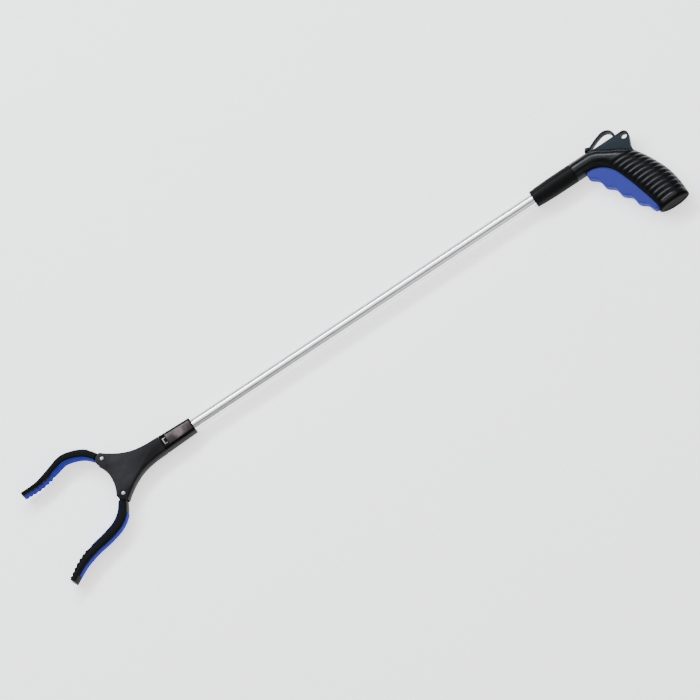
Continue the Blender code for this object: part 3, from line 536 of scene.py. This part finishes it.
# Hang plate and belt clip, then the shell screws, then the trigger.
EYE, EYE_R, EYE_LIP_R = (645.4, 2.9), 3.6, 5.5
FIN_Z, FIN_TOP, FIN_INSET = 5.2, 8.3, 1.95
CLIP = [(636.0, 6.0), (636.7, 11.4), (634.6, 16.3), (628.5, 18.7), (620.0, 16.8), (608.0, 11.8)]
SCREWS = [(640.0, -24.0, 10.9), (650.0, -50.0, 11.6), (652.0, -75.0, 10.9)]  # X, Y, height of the boss
BOSS_R, SCREW_HOLE_R, SCREW_HEAD_R = 3.3, 1.5, 2.9
TRIGGER_PIVOT, TRIGGER_Z, LINK, LINK_R = (644.0, -81.0), 6.6, (594.0, -5.0), 1.5
FINGER_PITCH, FINGER_DEEP = 20.3, 1.5
TRIGGER_BACK = [(646.5, -74.0), (641.0, -60.0), (634.5, -44.0), (626.0, -27.5), (616.5, -14.5),
                (608.0, -9.4)]


# ---------------------------------------------------------------- tube, sleeve and collar
def make_tube():
    wall = TUBE_R - TUBE_WALL
    profile = [(TUBE_FRONT, wall), (TUBE_FRONT, TUBE_R - 0.2), (TUBE_FRONT + 0.2, TUBE_R)]
    profile += [(x, TUBE_R) for x in np.linspace(TUBE_FRONT + 40, TUBE_REAR - 40, 12)]
    profile += [(TUBE_REAR - 0.2, TUBE_R), (TUBE_REAR, TUBE_R - 0.2), (TUBE_REAR, wall)]
    piece("satin_tube", revolve(profile, 96), LOOKS["tube"], "tube")


def make_sleeve():
    """Moulded sleeve with a rolled front lip and three faint steps."""
    profile = [(SLEEVE_FRONT, 6.6), (SLEEVE_FRONT, 8.3)]
    for a in np.radians([18, 36, 54, 72, 90]):
        profile.append((SLEEVE_FRONT + 1.4 - 1.4 * math.cos(a), 8.3 + 1.3 * math.sin(a)))
    for x in np.arange(532.0, SEAM_X - 0.5, 0.6):
        radius = float(np.interp(x, [532.0, 536.0, 552.0, 580.0], [9.62, 9.9, 10.5, 10.6]))
        step = sum(0.16 * math.exp(-((x - at) / 0.42) ** 2) for at in (549.0, 556.4, 566.0))
        lip = 0.12 * math.exp(-((x - 534.2) / 0.8) ** 2)
        profile.append((x, radius - step - lip))
    profile += [(SEAM_X - 0.3, 10.56), (SEAM_X - 0.08, 10.4), (SEAM_X - 0.08, 8.55), (544.6, 8.55),
                (544.6, 6.6)]
    piece("grip_sleeve", revolve(profile, 96), LOOKS["sleeve"], "barrel_sleeve", 50)


def chamfered_square(x, half_y, half_z, corner):
    y, z = half_y, half_z
    return [(x, y - corner, z), (x, y, z - corner), (x, y, corner - z), (x, y - corner, -z),
            (x, corner - y, -z), (x, -y, corner - z), (x, -y, z - corner), (x, corner - y, z)]


def make_collar():
    front = HEAD_REAR + GAP
    body = loft([chamfered_square(front, COLLAR_FRONT_HALF, 8.0, 2.0),
                 chamfered_square(COLLAR_REAR, COLLAR_REAR_HALF, 7.7, 2.0)])
    made = piece("locking_collar", softened(body, 0.35), LOOKS["collar"], "collar")
    nose = [(52.3, 1.9), (52.3, NOSE_R - 0.2), (52.5, NOSE_R), (54.5, NOSE_R), (54.5, GROOVE_R),
            (57.5, GROOVE_R), (57.5, NOSE_R), (64.0, NOSE_R), (64.0, 1.9)]
    carve(made, revolve(nose, 64), "UNION")
    bore = [(50.0, ROD_R + 0.4), (72.0, ROD_R + 0.4), (72.0, TUBE_R + 0.2), (COLLAR_REAR + 2, TUBE_R + 0.2)]
    carve(made, loft([[(x, a, b) for a, b in circle((0, 0), r, 64)] for x, r in bore]))
    window = [(64.0, -6.2), (98.6, -5.2), (98.6, 5.2), (64.0, 6.2)]
    carve(made, prism(window, 7.0, 12.0))
    carve(made, standing([(-9.0, 1.8), (-5.0, 1.8)], (90.0, 0.0)))
    panel = [(69.0, -5.8), (98.3, -4.9), (98.3, 4.9), (69.0, 5.8)]
    piece("smoked_panel", softened(prism(panel, 7.2, 7.6), 0.18), LOOKS["panel"], "collar_panel")
    leaf = [(64.5, -3.6), (68.4, -3.4), (68.4, -2.7), (65.4, -2.8),
            (65.4, 2.8), (68.4, 2.7), (68.4, 3.4), (64.5, 3.6)]
    piece("locking_leaf", softened(prism(leaf, 7.2, 7.7), 0.14), LOOKS["leaf"], "lock_leaf")


# ---------------------------------------------------------------- head
def head_z(x):
    return HEAD_Z + (NECK_Z - HEAD_Z) * x / HEAD_REAR


def concave_edge(radius, reach, steps=36):
    top = math.degrees(math.asin(reach / radius))
    return arc((CONCAVE_X - CONCAVE_R, 0.0), radius, -top, top, steps)


def head_outline():
    branch = arc((0, PIVOT_Y), BRANCH_R, 184, 80, 16)
    side = spline([(1.4, 30.2), (10.0, 23.6), (20.0, 17.4), (31.0, 12.7), (45.0, 9.9), (HEAD_REAR, 9.0)], 9)
    upper = branch + side
    return concave_edge(CONCAVE_R, 21.2) + upper + [(x, -y) for x, y in upper[::-1]]


def head_cavity():
    side = spline([(0.2, 28.6), (8.9, 22.0), (19.0, 15.9), (30.4, 11.1), (44.8, 8.3),
                   (HEAD_REAR + 2, 7.3)], 6)
    upper = [(-20.0, 13.0), (-20.0, 38.0), (0.2, 38.0)] + side
    return concave_edge(CONCAVE_R + HEAD_WALL, 13.0, 24) + upper + [(x, -y) for x, y in upper[::-1]]


def make_head():
    rim = [(0.0, 1.15), (0.06, 1.0), (0.15, 0.88), (0.85, 0.14), (0.98, 0.05), (1.15, 0.0)]
    rim = [(inset * CHAMFER, drop * CHAMFER) for inset, drop in rim]
    halves = (("front_head_shell", "head_shell_front", 1), ("back_head_shell", "head_shell_back", -1))
    for name, node, side in halves:
        outline = head_outline()
        amount = [float(np.interp(x, [0.5, 4.0], [0.22, 1.0])) if abs(y) > 8 else 0.22 for x, y in outline]
        amount = [1.0 if x > 20 else k for (x, y), k in zip(outline, amount)]
        body = slab(outline, 0.15, head_z, 0, rim=rim, amount=amount, keep_x=HEAD_REAR)
        made = piece(name, place_z(body, side), LOOKS["head"], node, 30)
        carve(made, place_z(prism(head_cavity(), -1.0, lambda x: head_z(x) - HEAD_WALL), side), smooth=30)
        for y in (PIVOT_Y, -PIVOT_Y):
            hole = [(-1, RIVET_R + HOLE_SLACK), (12, RIVET_R + HOLE_SLACK)]
            carve(made, place_z(standing(hole, (0.0, y)), side), smooth=30)
    dome = [(HEAD_Z + RIVET_LIFT + rise, radius) for rise, radius in RIVET_DOME]
    profile = [(-z, r) for z, r in dome[::-1]] + dome
    for name, y in (("rivet_upper", PIVOT_Y), ("rivet_lower", -PIVOT_Y)):
        piece(f"domed_{name}", standing(profile, (0.0, y)), LOOKS["rivet"], name, 40)
    make_spring()


def make_spring(per_turn=36):
    """Coil with a flat turn at each end; the real spring shortens towards its rear seat."""
    rings = []
    length = SPRING_END - SPRING_START
    for index in range(SPRING_TURNS * per_turn + 1):
        share = index / per_turn
        lead = np.interp(share, [0, 1, SPRING_TURNS - 1, SPRING_TURNS], [0.0, 0.05, 0.95, 1.0])
        x = SPRING_START + WIRE_R + (length - 2 * WIRE_R) * lead
        angle = 2 * math.pi * share
        ring = []
        for a in np.radians(np.arange(0, 360, 36)):
            out = SPRING_R + WIRE_R * math.cos(a)
            ring.append((x + WIRE_R * math.sin(a), out * math.cos(angle), out * math.sin(angle)))
        rings.append(ring)
    made = piece("coil_spring", loft(rings), LOOKS["spring"], "return_spring", 60)
    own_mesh(made)


# ---------------------------------------------------------------- jaws
def slot_path(side, steps=16):
    """The drive pin's track in a jaw, as the crosshead slides and the jaw swings."""
    track = []
    for share in np.linspace(0, 1, steps + 1):
        x, y = turn((PIN_X + STROKE * share, PIN_Y - side * PIVOT_Y), -side * JAW_SWING[side] * share)
        track.append((x, y + side * PIVOT_Y))
    return track


def slot_outline(track, radius):
    """Outline of a slot of this radius along a track, with round ends."""
    normal = normals_of(track, 1)
    left = [tuple(np.array(p) + n * radius) for p, n in zip(track, normal)]
    right = [tuple(np.array(p) - n * radius) for p, n in zip(track, normal)]
    first, last = (math.degrees(math.atan2(n[1], n[0])) for n in (normal[0], normal[-1]))
    return (left + arc(track[-1], radius, last, last - 180, 12)[1:-1] + right[::-1]
            + arc(track[0], radius, first + 180, first, 12)[1:-1])


def jaw_path(side, per_span):
    """A jaw's outer line from root to tip, with its thickness, inward normals and half width."""
    path = spline(JAW_OUTER[side], per_span)
    share = np.linspace(0, 1, len(path))
    thick = np.interp(share, np.linspace(0, 1, 8), JAW_THICK[side])
    window = per_span // 2 * 2 + 1
    thick = np.convolve(np.pad(thick, per_span // 2, mode="edge"), np.ones(window), "valid")
    thick = thick / window
    half = JAW_HALF_ROOT + (JAW_HALF_TIP - JAW_HALF_ROOT) * np.clip(share * 1.25, 0, 1)
    return np.array(path), thick, normals_of(path, side), half


def fine_path(side, first, last, step):
    """jaw_path between two shares of its length, in even steps counted back from the last."""
    path, thick, inward, half = jaw_path(side, 12)
    run = np.concatenate([[0], np.cumsum(np.linalg.norm(np.diff(path, axis=0), axis=1))])
    places = np.arange(run[-1] * last, run[-1] * first, -step)[::-1]

    def pick(values):
        return np.interp(places, run, values)

    points = np.stack([pick(path[:, 0]), pick(path[:, 1])], 1)
    normal = np.stack([pick(inward[:, 0]), pick(inward[:, 1])], 1)
    normal /= np.linalg.norm(normal, axis=1)[:, None]
    return points, normal, pick(thick), pick(half), places, run[-1]


def soft_bar(outer, inner, half, corner, steps=4):
    """Rectangle with rounded corners between an outer and an inner point, half wide each way along Z."""
    across = (inner - outer) / np.linalg.norm(inner - outer)
    deep = np.linalg.norm(inner - outer)
    ring = []
    for u0, z0, start in ((corner, half - corner, 180), (deep - corner, half - corner, 90),
                          (deep - corner, corner - half, 0), (corner, corner - half, -90)):
        for a in np.radians(np.linspace(start, start - 90, steps + 1)):
            u, z = u0 + corner * math.cos(a), z0 + corner * math.sin(a)
            ring.append((*(outer + across * u), z))
    return ring


def tooth_height(from_tip):
    """Height of the rounded teeth at a distance from the jaw's tip."""
    if from_tip > TOOTH_COUNT * TOOTH_PITCH:
        return 0.0
    return TOOTH_HIGH * (0.5 - 0.5 * math.cos(2 * math.pi * from_tip / TOOTH_PITCH)) ** 0.8


def make_jaw(side, prefix):
    pivot = (0.0, side * PIVOT_Y)
    path, thick, inward, half = jaw_path(side, 10)
    rings = [soft_bar(p, p + n * t, h, 0.75) for p, t, n, h in zip(path, thick, inward, half)]
    made = piece(f"{prefix}_finger", loft(rings), LOOKS["jaw"], f"{prefix}_jaw")
    carve(made, standing([(-12, JAW_ROOT_R), (12, JAW_ROOT_R)], pivot, 96))
    reach = [(TONGUE_R * math.cos(a), pivot[1] + side * TONGUE_R * math.sin(a))
             for a in np.radians((118, 156))]
    carve(made, prism(hull_outline(circle(pivot, 4.2, 48) + reach), -TONGUE_Z, TONGUE_Z), "UNION")
    track = slot_path(side)
    low, high = (ARM_LOW, ARM_HIGH) if side > 0 else (-ARM_HIGH, -ARM_LOW)
    arm = hull_outline(circle(pivot, 2.7, 48) + slot_outline(track, PIN_R + 0.9))
    carve(made, prism(arm, low, high), "UNION")
    carve(made, prism(slot_outline(track, PIN_R + 1.65), low + 0.02, high - 0.02), "UNION")
    carve(made, prism(slot_outline(track, PIN_R + 0.2), -8, 8))
    carve(made, standing([(-8, RIVET_R + HOLE_SLACK), (8, RIVET_R + HOLE_SLACK)], pivot))
    for end in (1, -1):
        carve(made, place_z(prism(flange_outline(side), FLANGE_LOW, FLANGE_HIGH), end), "UNION")
    make_lining(side, prefix, pivot)
    make_stripe(side, prefix)


def flange_outline(side):
    """Toothed lip that stands along both sides of the lining near the tip."""
    points, normal, thick, _, places, length = fine_path(side, 0.68, 1.0, TOOTH_PITCH / 10)
    base, crest = [], []
    for p, n, t, place in zip(points, normal, thick, places):
        base.append(tuple(p + n * (t - 1.0)))
        crest.append(tuple(p + n * (t + PAD_THICK - FLANGE_DROP + tooth_height(length - place))))
    return base + crest[::-1]


def make_lining(side, prefix, pivot):
    points, normal, thick, half, places, length = fine_path(side, 0.06, 1.0, TOOTH_PITCH / 10)
    rings = []
    for index, (p, n, t, h, place) in enumerate(zip(points, normal, thick, half, places)):
        from_tip = length - place
        if from_tip > TOOTH_COUNT * TOOTH_PITCH + 4 and index % 3:
            continue
        wide = float(np.interp(from_tip / length, [0.335, 0.345], [FLANGE_LOW - GAP, h - 0.4]))
        inner = p + n * (t + GAP)
        crest = inner + n * (PAD_THICK - GAP + tooth_height(from_tip))
        rings.append(soft_bar(inner, crest, wide, 0.4, 3))
    made = piece(f"{prefix}_lining", loft(rings), LOOKS["lining"], f"{prefix}_jaw_pad", 50)
    carve(made, standing([(-12, PAD_CLEAR_R), (12, PAD_CLEAR_R)], pivot, 96), smooth=50)


def make_stripe(side, prefix):
    points, normal, _, _, places, _ = fine_path(side, 0.19, 0.93, 1.0)
    rings = []
    for p, n, place in zip(points, normal, places):
        end = min(place - places[0], places[-1] - place)
        close = math.sqrt(1 - (1 - min(end / 1.2, 1)) ** 2)
        outer = p - n * (0.15 + (STRIP_THICK - 0.3) * (0.6 + 0.4 * close) + 0.3)
        rings.append(soft_bar(outer, p - n * 0.15, STRIP_HALF - 0.8 * (1 - close), 0.22, 3))
    piece(f"{prefix}_stripe", loft(rings), LOOKS["stripe"], f"{prefix}_jaw_strip", 50)


# ---------------------------------------------------------------- handle
def eased(x, xs, ys):
    """Smooth curve through keyed values: cubic pieces with averaged slopes."""
    xs, ys = np.array(xs, float), np.array(ys, float)
    if xs[0] > xs[-1]:
        xs, ys = xs[::-1], ys[::-1]
    slopes = np.gradient(ys, xs)
    k = int(np.clip(np.searchsorted(xs, x) - 1, 0, len(xs) - 2))
    w = xs[k + 1] - xs[k]
    t = min(max((x - xs[k]) / w, 0), 1)
    return ((2 * t ** 3 - 3 * t ** 2 + 1) * ys[k] + (t ** 3 - 2 * t ** 2 + t) * w * slopes[k]
            + (3 * t ** 2 - 2 * t ** 3) * ys[k + 1] + (t ** 3 - t ** 2) * w * slopes[k + 1])


# The bend's section by angle round BEND, and the grip's by Y: where its back and its open edge are, and its
# half depth along Z.
BEND_ANGLE = [90, 60, 40, 25, 12, 0]
BEND_BACK = [27.6, 27.0, 28.0, 31.5, 38.0, 46.0]
BEND_EDGE = [10.4, 10.5, 11.5, 12.5, 13.5, 14.5]
BEND_DEPTH = [10.6, 11.0, 11.6, 12.3, 12.9, 13.3]
GRIP_Y = [-17, -26, -40, -52, -74, -91]
GRIP_BACK = [647.0, 652.5, 659.5, 664.3, 668.6, 669.0]
GRIP_EDGE = [615.5, 619.0, 624.8, 629.0, 635.0, 638.0]
GRIP_DEPTH = [13.3, 13.4, 13.5, 13.5, 13.1, 12.0]


def oval(back, edge, depth):
    """Middle and half length of the oval that reaches the back and is cut open at the edge by the mouth."""
    half = (back - edge) / (1 + math.sqrt(1 - (MOUTH_HALF / depth) ** 2))
    return back - half, half


def bend_section(degrees):
    depth = eased(degrees, BEND_ANGLE, BEND_DEPTH)
    middle, half = oval(eased(degrees, BEND_ANGLE, BEND_BACK), eased(degrees, BEND_ANGLE, BEND_EDGE), depth)
    across = (math.cos(math.radians(degrees)), math.sin(math.radians(degrees)))
    return (BEND[0] + middle * across[0], BEND[1] + middle * across[1]), across, half, depth


def grip_section(y):
    depth = eased(y, GRIP_Y, GRIP_DEPTH)
    middle, half = oval(eased(y, GRIP_Y, GRIP_BACK), eased(y, GRIP_Y, GRIP_EDGE), depth)
    return (middle, y), (1.0, 0.0), half, depth


def half_ring(section, is_open, wall, groove=0.0, inner=None, outside=44, inside=16, sector=6):
    """C-shaped ring of one handle half: lip to parting plane, back inside, then the closed or open mouth."""
    centre, across, half, depth = section
    lip_width, seam_width = 1.4, 0.35

    def at(radius_a, radius_b, angle):
        w = -radius_a * math.cos(angle)
        return centre[0] + across[0] * w, centre[1] + across[1] * w, radius_b * math.sin(angle)

    inner_half, inner_depth = inner or half - wall, inner or depth - wall
    lip_out = math.asin(min(MOUTH_HALF / depth, 0.8))
    lip_in = math.asin(min(MOUTH_HALF / inner_depth, 0.985))
    end_out, end_in = (math.pi - math.asin(0.15 / radius) for radius in (depth, inner_depth))
    ring = []
    for share in 0.5 - 0.5 * np.cos(np.pi * np.linspace(0, 1, outside)):
        run = share * (end_out - lip_out) * half
        lip = max(0.0, 1 - run / lip_width) if is_open else 0.0
        seam = max(0.0, 1 - ((end_out - lip_out) * half - run) / seam_width)
        reach = np.clip((0.93 - share) / 0.07, 0, 1)
        deep = groove * reach * reach * (3 - 2 * reach) + 0.9 * (1 - math.sqrt(1 - lip * lip)) + 0.12 * seam
        ring.append(at(half - deep, depth - deep, lip_out + (end_out - lip_out) * share))
    inside_row = [at(inner_half, inner_depth, a) for a in np.linspace(end_in, lip_in, inside)]
    if is_open:
        first, last = np.array(inside_row[-1]), np.array(ring[0])
        mouth = [tuple(first + (last - first) * share) for share in np.linspace(0, 1, 2 * sector + 2)[1:-1]]
    else:
        mouth = [at(inner_half, inner_depth, a) for a in np.linspace(lip_in, 0.024, sector + 1)[1:]]
        mouth += [at(half, depth, a) for a in np.linspace(0.016, lip_out, sector + 1)[:-1]]
    return ring + inside_row + mouth


def rib_depth(y):
    """Rounded ribs with a narrow groove between them."""
    nearest = np.clip(round((RIB_FIRST - y) / RIB_PITCH), 0, RIB_COUNT - 1)
    away = min(abs(y - (RIB_FIRST - RIB_PITCH * nearest)), RIB_PITCH / 2)
    notch = 0.6 * math.exp(-(away / 0.55) ** 2)
    return notch + 0.27 * (1 + math.cos(2 * math.pi * away / RIB_PITCH))


def handle_rings():
    """The rings of one half, from the spigot under the sleeve, round the bend and down the grip."""
    rings = []
    for x, radius in ((SHELL_FRONT, SPIGOT_R), (SEAM_X + 0.08, SPIGOT_R), (SEAM_X + 0.1, BARREL_R - 0.25),
                      (SEAM_X + 0.25, BARREL_R - 0.06), (SEAM_X + 0.6, BARREL_R), (583.0, BARREL_R),
                      (587.0, BARREL_R), (MOUTH_X - 0.02, BARREL_R)):
        section = ((x, 0.0), (0.0, 1.0), radius, radius)
        rings.append(half_ring(section, False, 0, inner=TUBE_R + HOLE_SLACK))
    for x in (MOUTH_X, 594.0, 597.5):
        rings.append(half_ring(((x, 0.0), (0.0, 1.0), BARREL_R, BARREL_R), True, SHELL_WALL, inner=8.45))
    for degrees in np.linspace(90, 2, 34):
        rings.append(half_ring(bend_section(degrees), True, SHELL_WALL))
    for y in np.arange(RIB_FIRST + 1.9, SHELL_BOTTOM + 0.3, -RIB_PITCH / 14):
        rings.append(half_ring(grip_section(y), True, SHELL_WALL, rib_depth(y)))
    rings.append(half_ring(grip_section(SHELL_BOTTOM), True, SHELL_WALL))
    return rings


def round_bend(degrees, radius):
    angle = math.radians(degrees)
    return BEND[0] + radius * math.cos(angle), BEND[1] + radius * math.sin(angle)


def bend_point(degrees, inset):
    return round_bend(degrees, eased(degrees, BEND_ANGLE, BEND_BACK) - inset)


def skirt_outline(overlap=1.2):
    """The flat cheek between the shell's open edge and the trigger."""
    inside = [(eased(y, GRIP_Y, GRIP_EDGE) + overlap, y) for y in np.linspace(SHELL_BOTTOM, -19, 16)]
    inside += [round_bend(degrees, eased(degrees, BEND_ANGLE, BEND_EDGE) + overlap)
               for degrees in np.linspace(8, 90, 12)]
    return [(589.2, -5.4), (589.2, -7.5)] + spline(SKIRT_EDGE, 6) + inside


def make_shell(name, node, side):
    made = piece(name, place_z(loft(handle_rings()), side), LOOKS["grip"], node, 50)
    slot = [(603.6, 30.0), (665.0, 30.0), (665.0, -11.0), (650.5, -11.0), (647.5, -17.5), (643.8, -17.5)]
    slot += [bend_point(degrees, FIN_INSET + 0.35) for degrees in (5, 10, 20, 30, 40, 55, 70, 80)]
    carve(made, prism(slot + [(603.6, 7.9)], -FIN_Z - GAP, FIN_Z + GAP), smooth=50)
    skirt = slab(skirt_outline(), SKIRT_INSIDE, SKIRT_OUTSIDE, 0.35, bottom=False)
    piece(name.replace("shell", "skirt"), place_z(skirt, side), LOOKS["skirt"], node, 50)
    if side > 0:
        return
    for x, y, top in SCREWS:
        carve(made, place_z(standing([(0.15, BOSS_R), (top, BOSS_R)], (x, y)), side), "UNION", 50)
        hole = [(1.0, SCREW_HOLE_R), (-top + 0.8, SCREW_HOLE_R), (-top + 0.8, SCREW_HEAD_R),
                (-20.0, SCREW_HEAD_R)]
        carve(made, standing(hole, (x, y)), smooth=50)


def cap_ring(y, inset):
    (middle, _), _, half, depth = grip_section(max(y, CAP_BOTTOM))
    return [(middle + (half - inset) * math.cos(a), y, (depth - inset) * math.sin(a))
            for a in np.radians(np.arange(0, 360, 3))]


def make_end_cap():
    layers = [(SHELL_BOTTOM - GAP, 0.6), (SHELL_BOTTOM - GAP - 0.12, 0.25), (SHELL_BOTTOM - 0.8, 0.0),
              (CAP_BOTTOM + 1.6, 0.02), (CAP_BOTTOM + 0.9, 0.25), (CAP_BOTTOM + 0.4, 0.65),
              (CAP_BOTTOM + 0.12, 1.2), (CAP_BOTTOM, 2.0), (CAP_BOTTOM, 4.0), (CAP_BOTTOM + 0.35, 4.4),
              (CAP_BOTTOM + 0.35, 6.0)]
    rings = [cap_ring(y, inset) for y, inset in layers]
    piece("end_cap", loft(rings), LOOKS["skirt"], "grip_end_cap", 40)


def make_hang_plate():
    lip = arc(EYE, EYE_LIP_R, 88, -38, 28)
    lower = [bend_point(degrees, FIN_INSET) for degrees in (10, 20, 30, 40, 55, 70, 80)]
    outline = [(604.0, FIN_TOP), (620.0, FIN_TOP), (640.0, FIN_TOP)] + lip
    outline += [(645.6, -11.0), (646.0, -17.0)] + lower
    amount = [float(np.interp(x, [606, 616], [0.2, 1])) for x, _ in outline]
    plate = slab(outline, -FIN_Z, FIN_Z, 0.5, amount=amount)
    made = piece("eye_plate", plate, LOOKS["plate"], "hang_plate", 40)
    eye = [(-FIN_Z - 1, EYE_R + 1.4), (-FIN_Z + 0.4, EYE_R), (FIN_Z - 0.4, EYE_R), (FIN_Z + 1, EYE_R + 1.4)]
    carve(made, standing(eye, EYE, 64), smooth=40)
    middle = spline(CLIP, 10)
    outward = normals_of(middle, -1)
    thick = np.interp(np.linspace(0, 1, len(middle)), [0, 0.25, 0.5, 1], [3.2, 2.4, 1.8, 1.5])
    rings = [soft_bar(np.array(p) - n * t / 2, np.array(p) + n * t / 2, FIN_Z, 0.35)
             for p, n, t in zip(middle, outward, thick)]
    carve(made, loft(rings), "UNION", 40)
    barb = [(601.2, 11.0), (608.4, 11.1), (609.2, 12.6), (604.6, 14.4), (603.6, 14.2)]
    carve(made, softened(prism(barb, -FIN_Z, FIN_Z), 0.3), "UNION", 40)


# ---------------------------------------------------------------- trigger
def trigger_front():
    """The trigger's front edge, with its finger bumps."""
    start = np.array((589.6, -6.6))
    along, outward = np.array((0.443, -0.897)), np.array((-0.897, -0.443))
    line = []
    for run in np.arange(7.0, 84.1, 1.0):
        wave = 2.3 - 0.033 * run + FINGER_DEEP * math.cos(2 * math.pi * (run - 9.0) / FINGER_PITCH)
        line.append(tuple(start + along * run + outward * wave))
    return line


def make_trigger():
    outline = [(595.0, -9.0), (591.4, -9.8)] + trigger_front() + [(629.6, -85.6), (632.0, -86.6)]
    outline += arc(TRIGGER_PIVOT, 5.0, 262, 372, 18)
    outline += spline(TRIGGER_BACK, 5)
    body = slab(outline, -TRIGGER_Z, TRIGGER_Z, 1.3, 5)
    made = piece("blue_trigger", body, LOOKS["trigger"], "trigger", 40)
    ears = arc(LINK, 2.6, 0, 180, 16) + [(590.8, -12.0), (600.0, -12.0)]
    carve(made, prism(ears, -4.2, 4.2), "UNION", 40)
    fork = [(580.0, -12.5), (590.4, -12.5), (590.4, -17.0), (600.6, -17.0), (600.6, 4.0), (580.0, 4.0)]
    carve(made, prism(fork, -2.1, 2.1), smooth=40)
    carve(made, standing([(-9, LINK_R + 0.15), (9, LINK_R + 0.15)], LINK), smooth=40)
    carve(made, standing([(-9, 2.0), (9, 2.0)], TRIGGER_PIVOT), smooth=40)


make_tube()
make_sleeve()
make_collar()
make_head()
make_jaw(1, "upper")
make_jaw(-1, "lower")
make_shell("front_grip_shell", "handle_shell_front", 1)
make_shell("back_grip_shell", "handle_shell_back", -1)
make_end_cap()
make_hang_plate()
make_trigger()


# ---------------------------------------------------------------- floor, light and camera
FLOOR_HALF, FLOOR_CLEARANCE = 6.0, 0.0002
WHITE, COOL_WHITE = (1.0, 1.0, 1.0), (0.82, 0.91, 1.0)
WORLD_STRENGTH = 0.24
# Each softbox: name, direction from the object, distance, width and height in metres, watts, colour.
SOFTBOXES = [
    ("overhead", (0.0, 0.34, 0.94), 2.2, (3.4, 2.0), 44, WHITE),
    ("strip", (-0.1, 0.62, 0.79), 2.2, (2.6, 0.45), 62, COOL_WHITE),
    ("fill", (0.3, -0.75, 0.6), 2.6, (2.0, 1.2), 9, WHITE),
]
CAMERA_BACK, CAMERA_RIGHT = Vector((0.0247, -0.3649, 0.9307)), Vector((0.8335, -0.5065, -0.2207))
CAMERA_AIM, CAMERA_DISTANCE = Vector((-0.00568, -0.00236, -0.00078)), 8.4063


def lit_floor():
    body = bmesh.new()
    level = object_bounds()[0][2] - FLOOR_CLEARANCE
    corners = [(-1, -1), (1, -1), (1, 1), (-1, 1)]
    body.faces.new([body.verts.new((x * FLOOR_HALF, y * FLOOR_HALF, level)) for x, y in corners])
    mesh = bpy.data.meshes.new("studio_floor")
    body.to_mesh(mesh)
    body.free()
    floor = bpy.data.objects.new("studio_floor", mesh)
    bpy.context.scene.collection.objects.link(floor)
    look = Look("floor_paper", (0.9, 0.9, 0.9), 0.85, Specular_IOR_Level=0.1, Emission_Strength=1.3,
                Emission_Color=(*WHITE, 1.0))
    look.tint(look.spread(look.noise(6, 3), 0.3, 0.7, 0.0, 1.0), (0.89, 0.89, 0.89))
    mesh.materials.append(look.material)


def softbox(name, direction, distance, size, watts, colour):
    """An area light that looks at the object's middle."""
    data = bpy.data.lights.new(name, "AREA")
    data.shape = "RECTANGLE"
    data.size, data.size_y = size
    data.energy = watts
    data.color = colour
    light = bpy.data.objects.new(name, data)
    bpy.context.scene.collection.objects.link(light)
    away = Vector(direction).normalized()
    light.location = away * distance
    light.rotation_mode = "QUATERNION"
    light.rotation_quaternion = away.to_track_quat("Z", "Y")


def studio():
    world = bpy.data.worlds.new("studio_world")
    bpy.context.scene.world = world
    world.use_nodes = True
    background = world.node_tree.nodes["Background"]
    background.inputs["Color"].default_value = (*WHITE, 1.0)
    background.inputs["Strength"].default_value = WORLD_STRENGTH
    for light in SOFTBOXES:
        softbox(*light)


def camera():
    """A long lens above the object, leaning towards the trigger's side, with the tube rising to the right."""
    back = CAMERA_BACK.normalized()
    right = (CAMERA_RIGHT - back * CAMERA_RIGHT.dot(back)).normalized()
    up = back.cross(right)
    data = bpy.data.cameras.new("camera")
    data.sensor_width, data.lens = 36.0, 410.8
    data.clip_start, data.clip_end = 0.1, 100.0
    made = bpy.data.objects.new("camera", data)
    bpy.context.scene.collection.objects.link(made)
    turned = Matrix((right, up, back)).transposed().to_4x4()
    made.matrix_world = Matrix.Translation(CAMERA_AIM + back * CAMERA_DISTANCE) @ turned
    bpy.context.scene.camera = made


lit_floor()
studio()
camera()
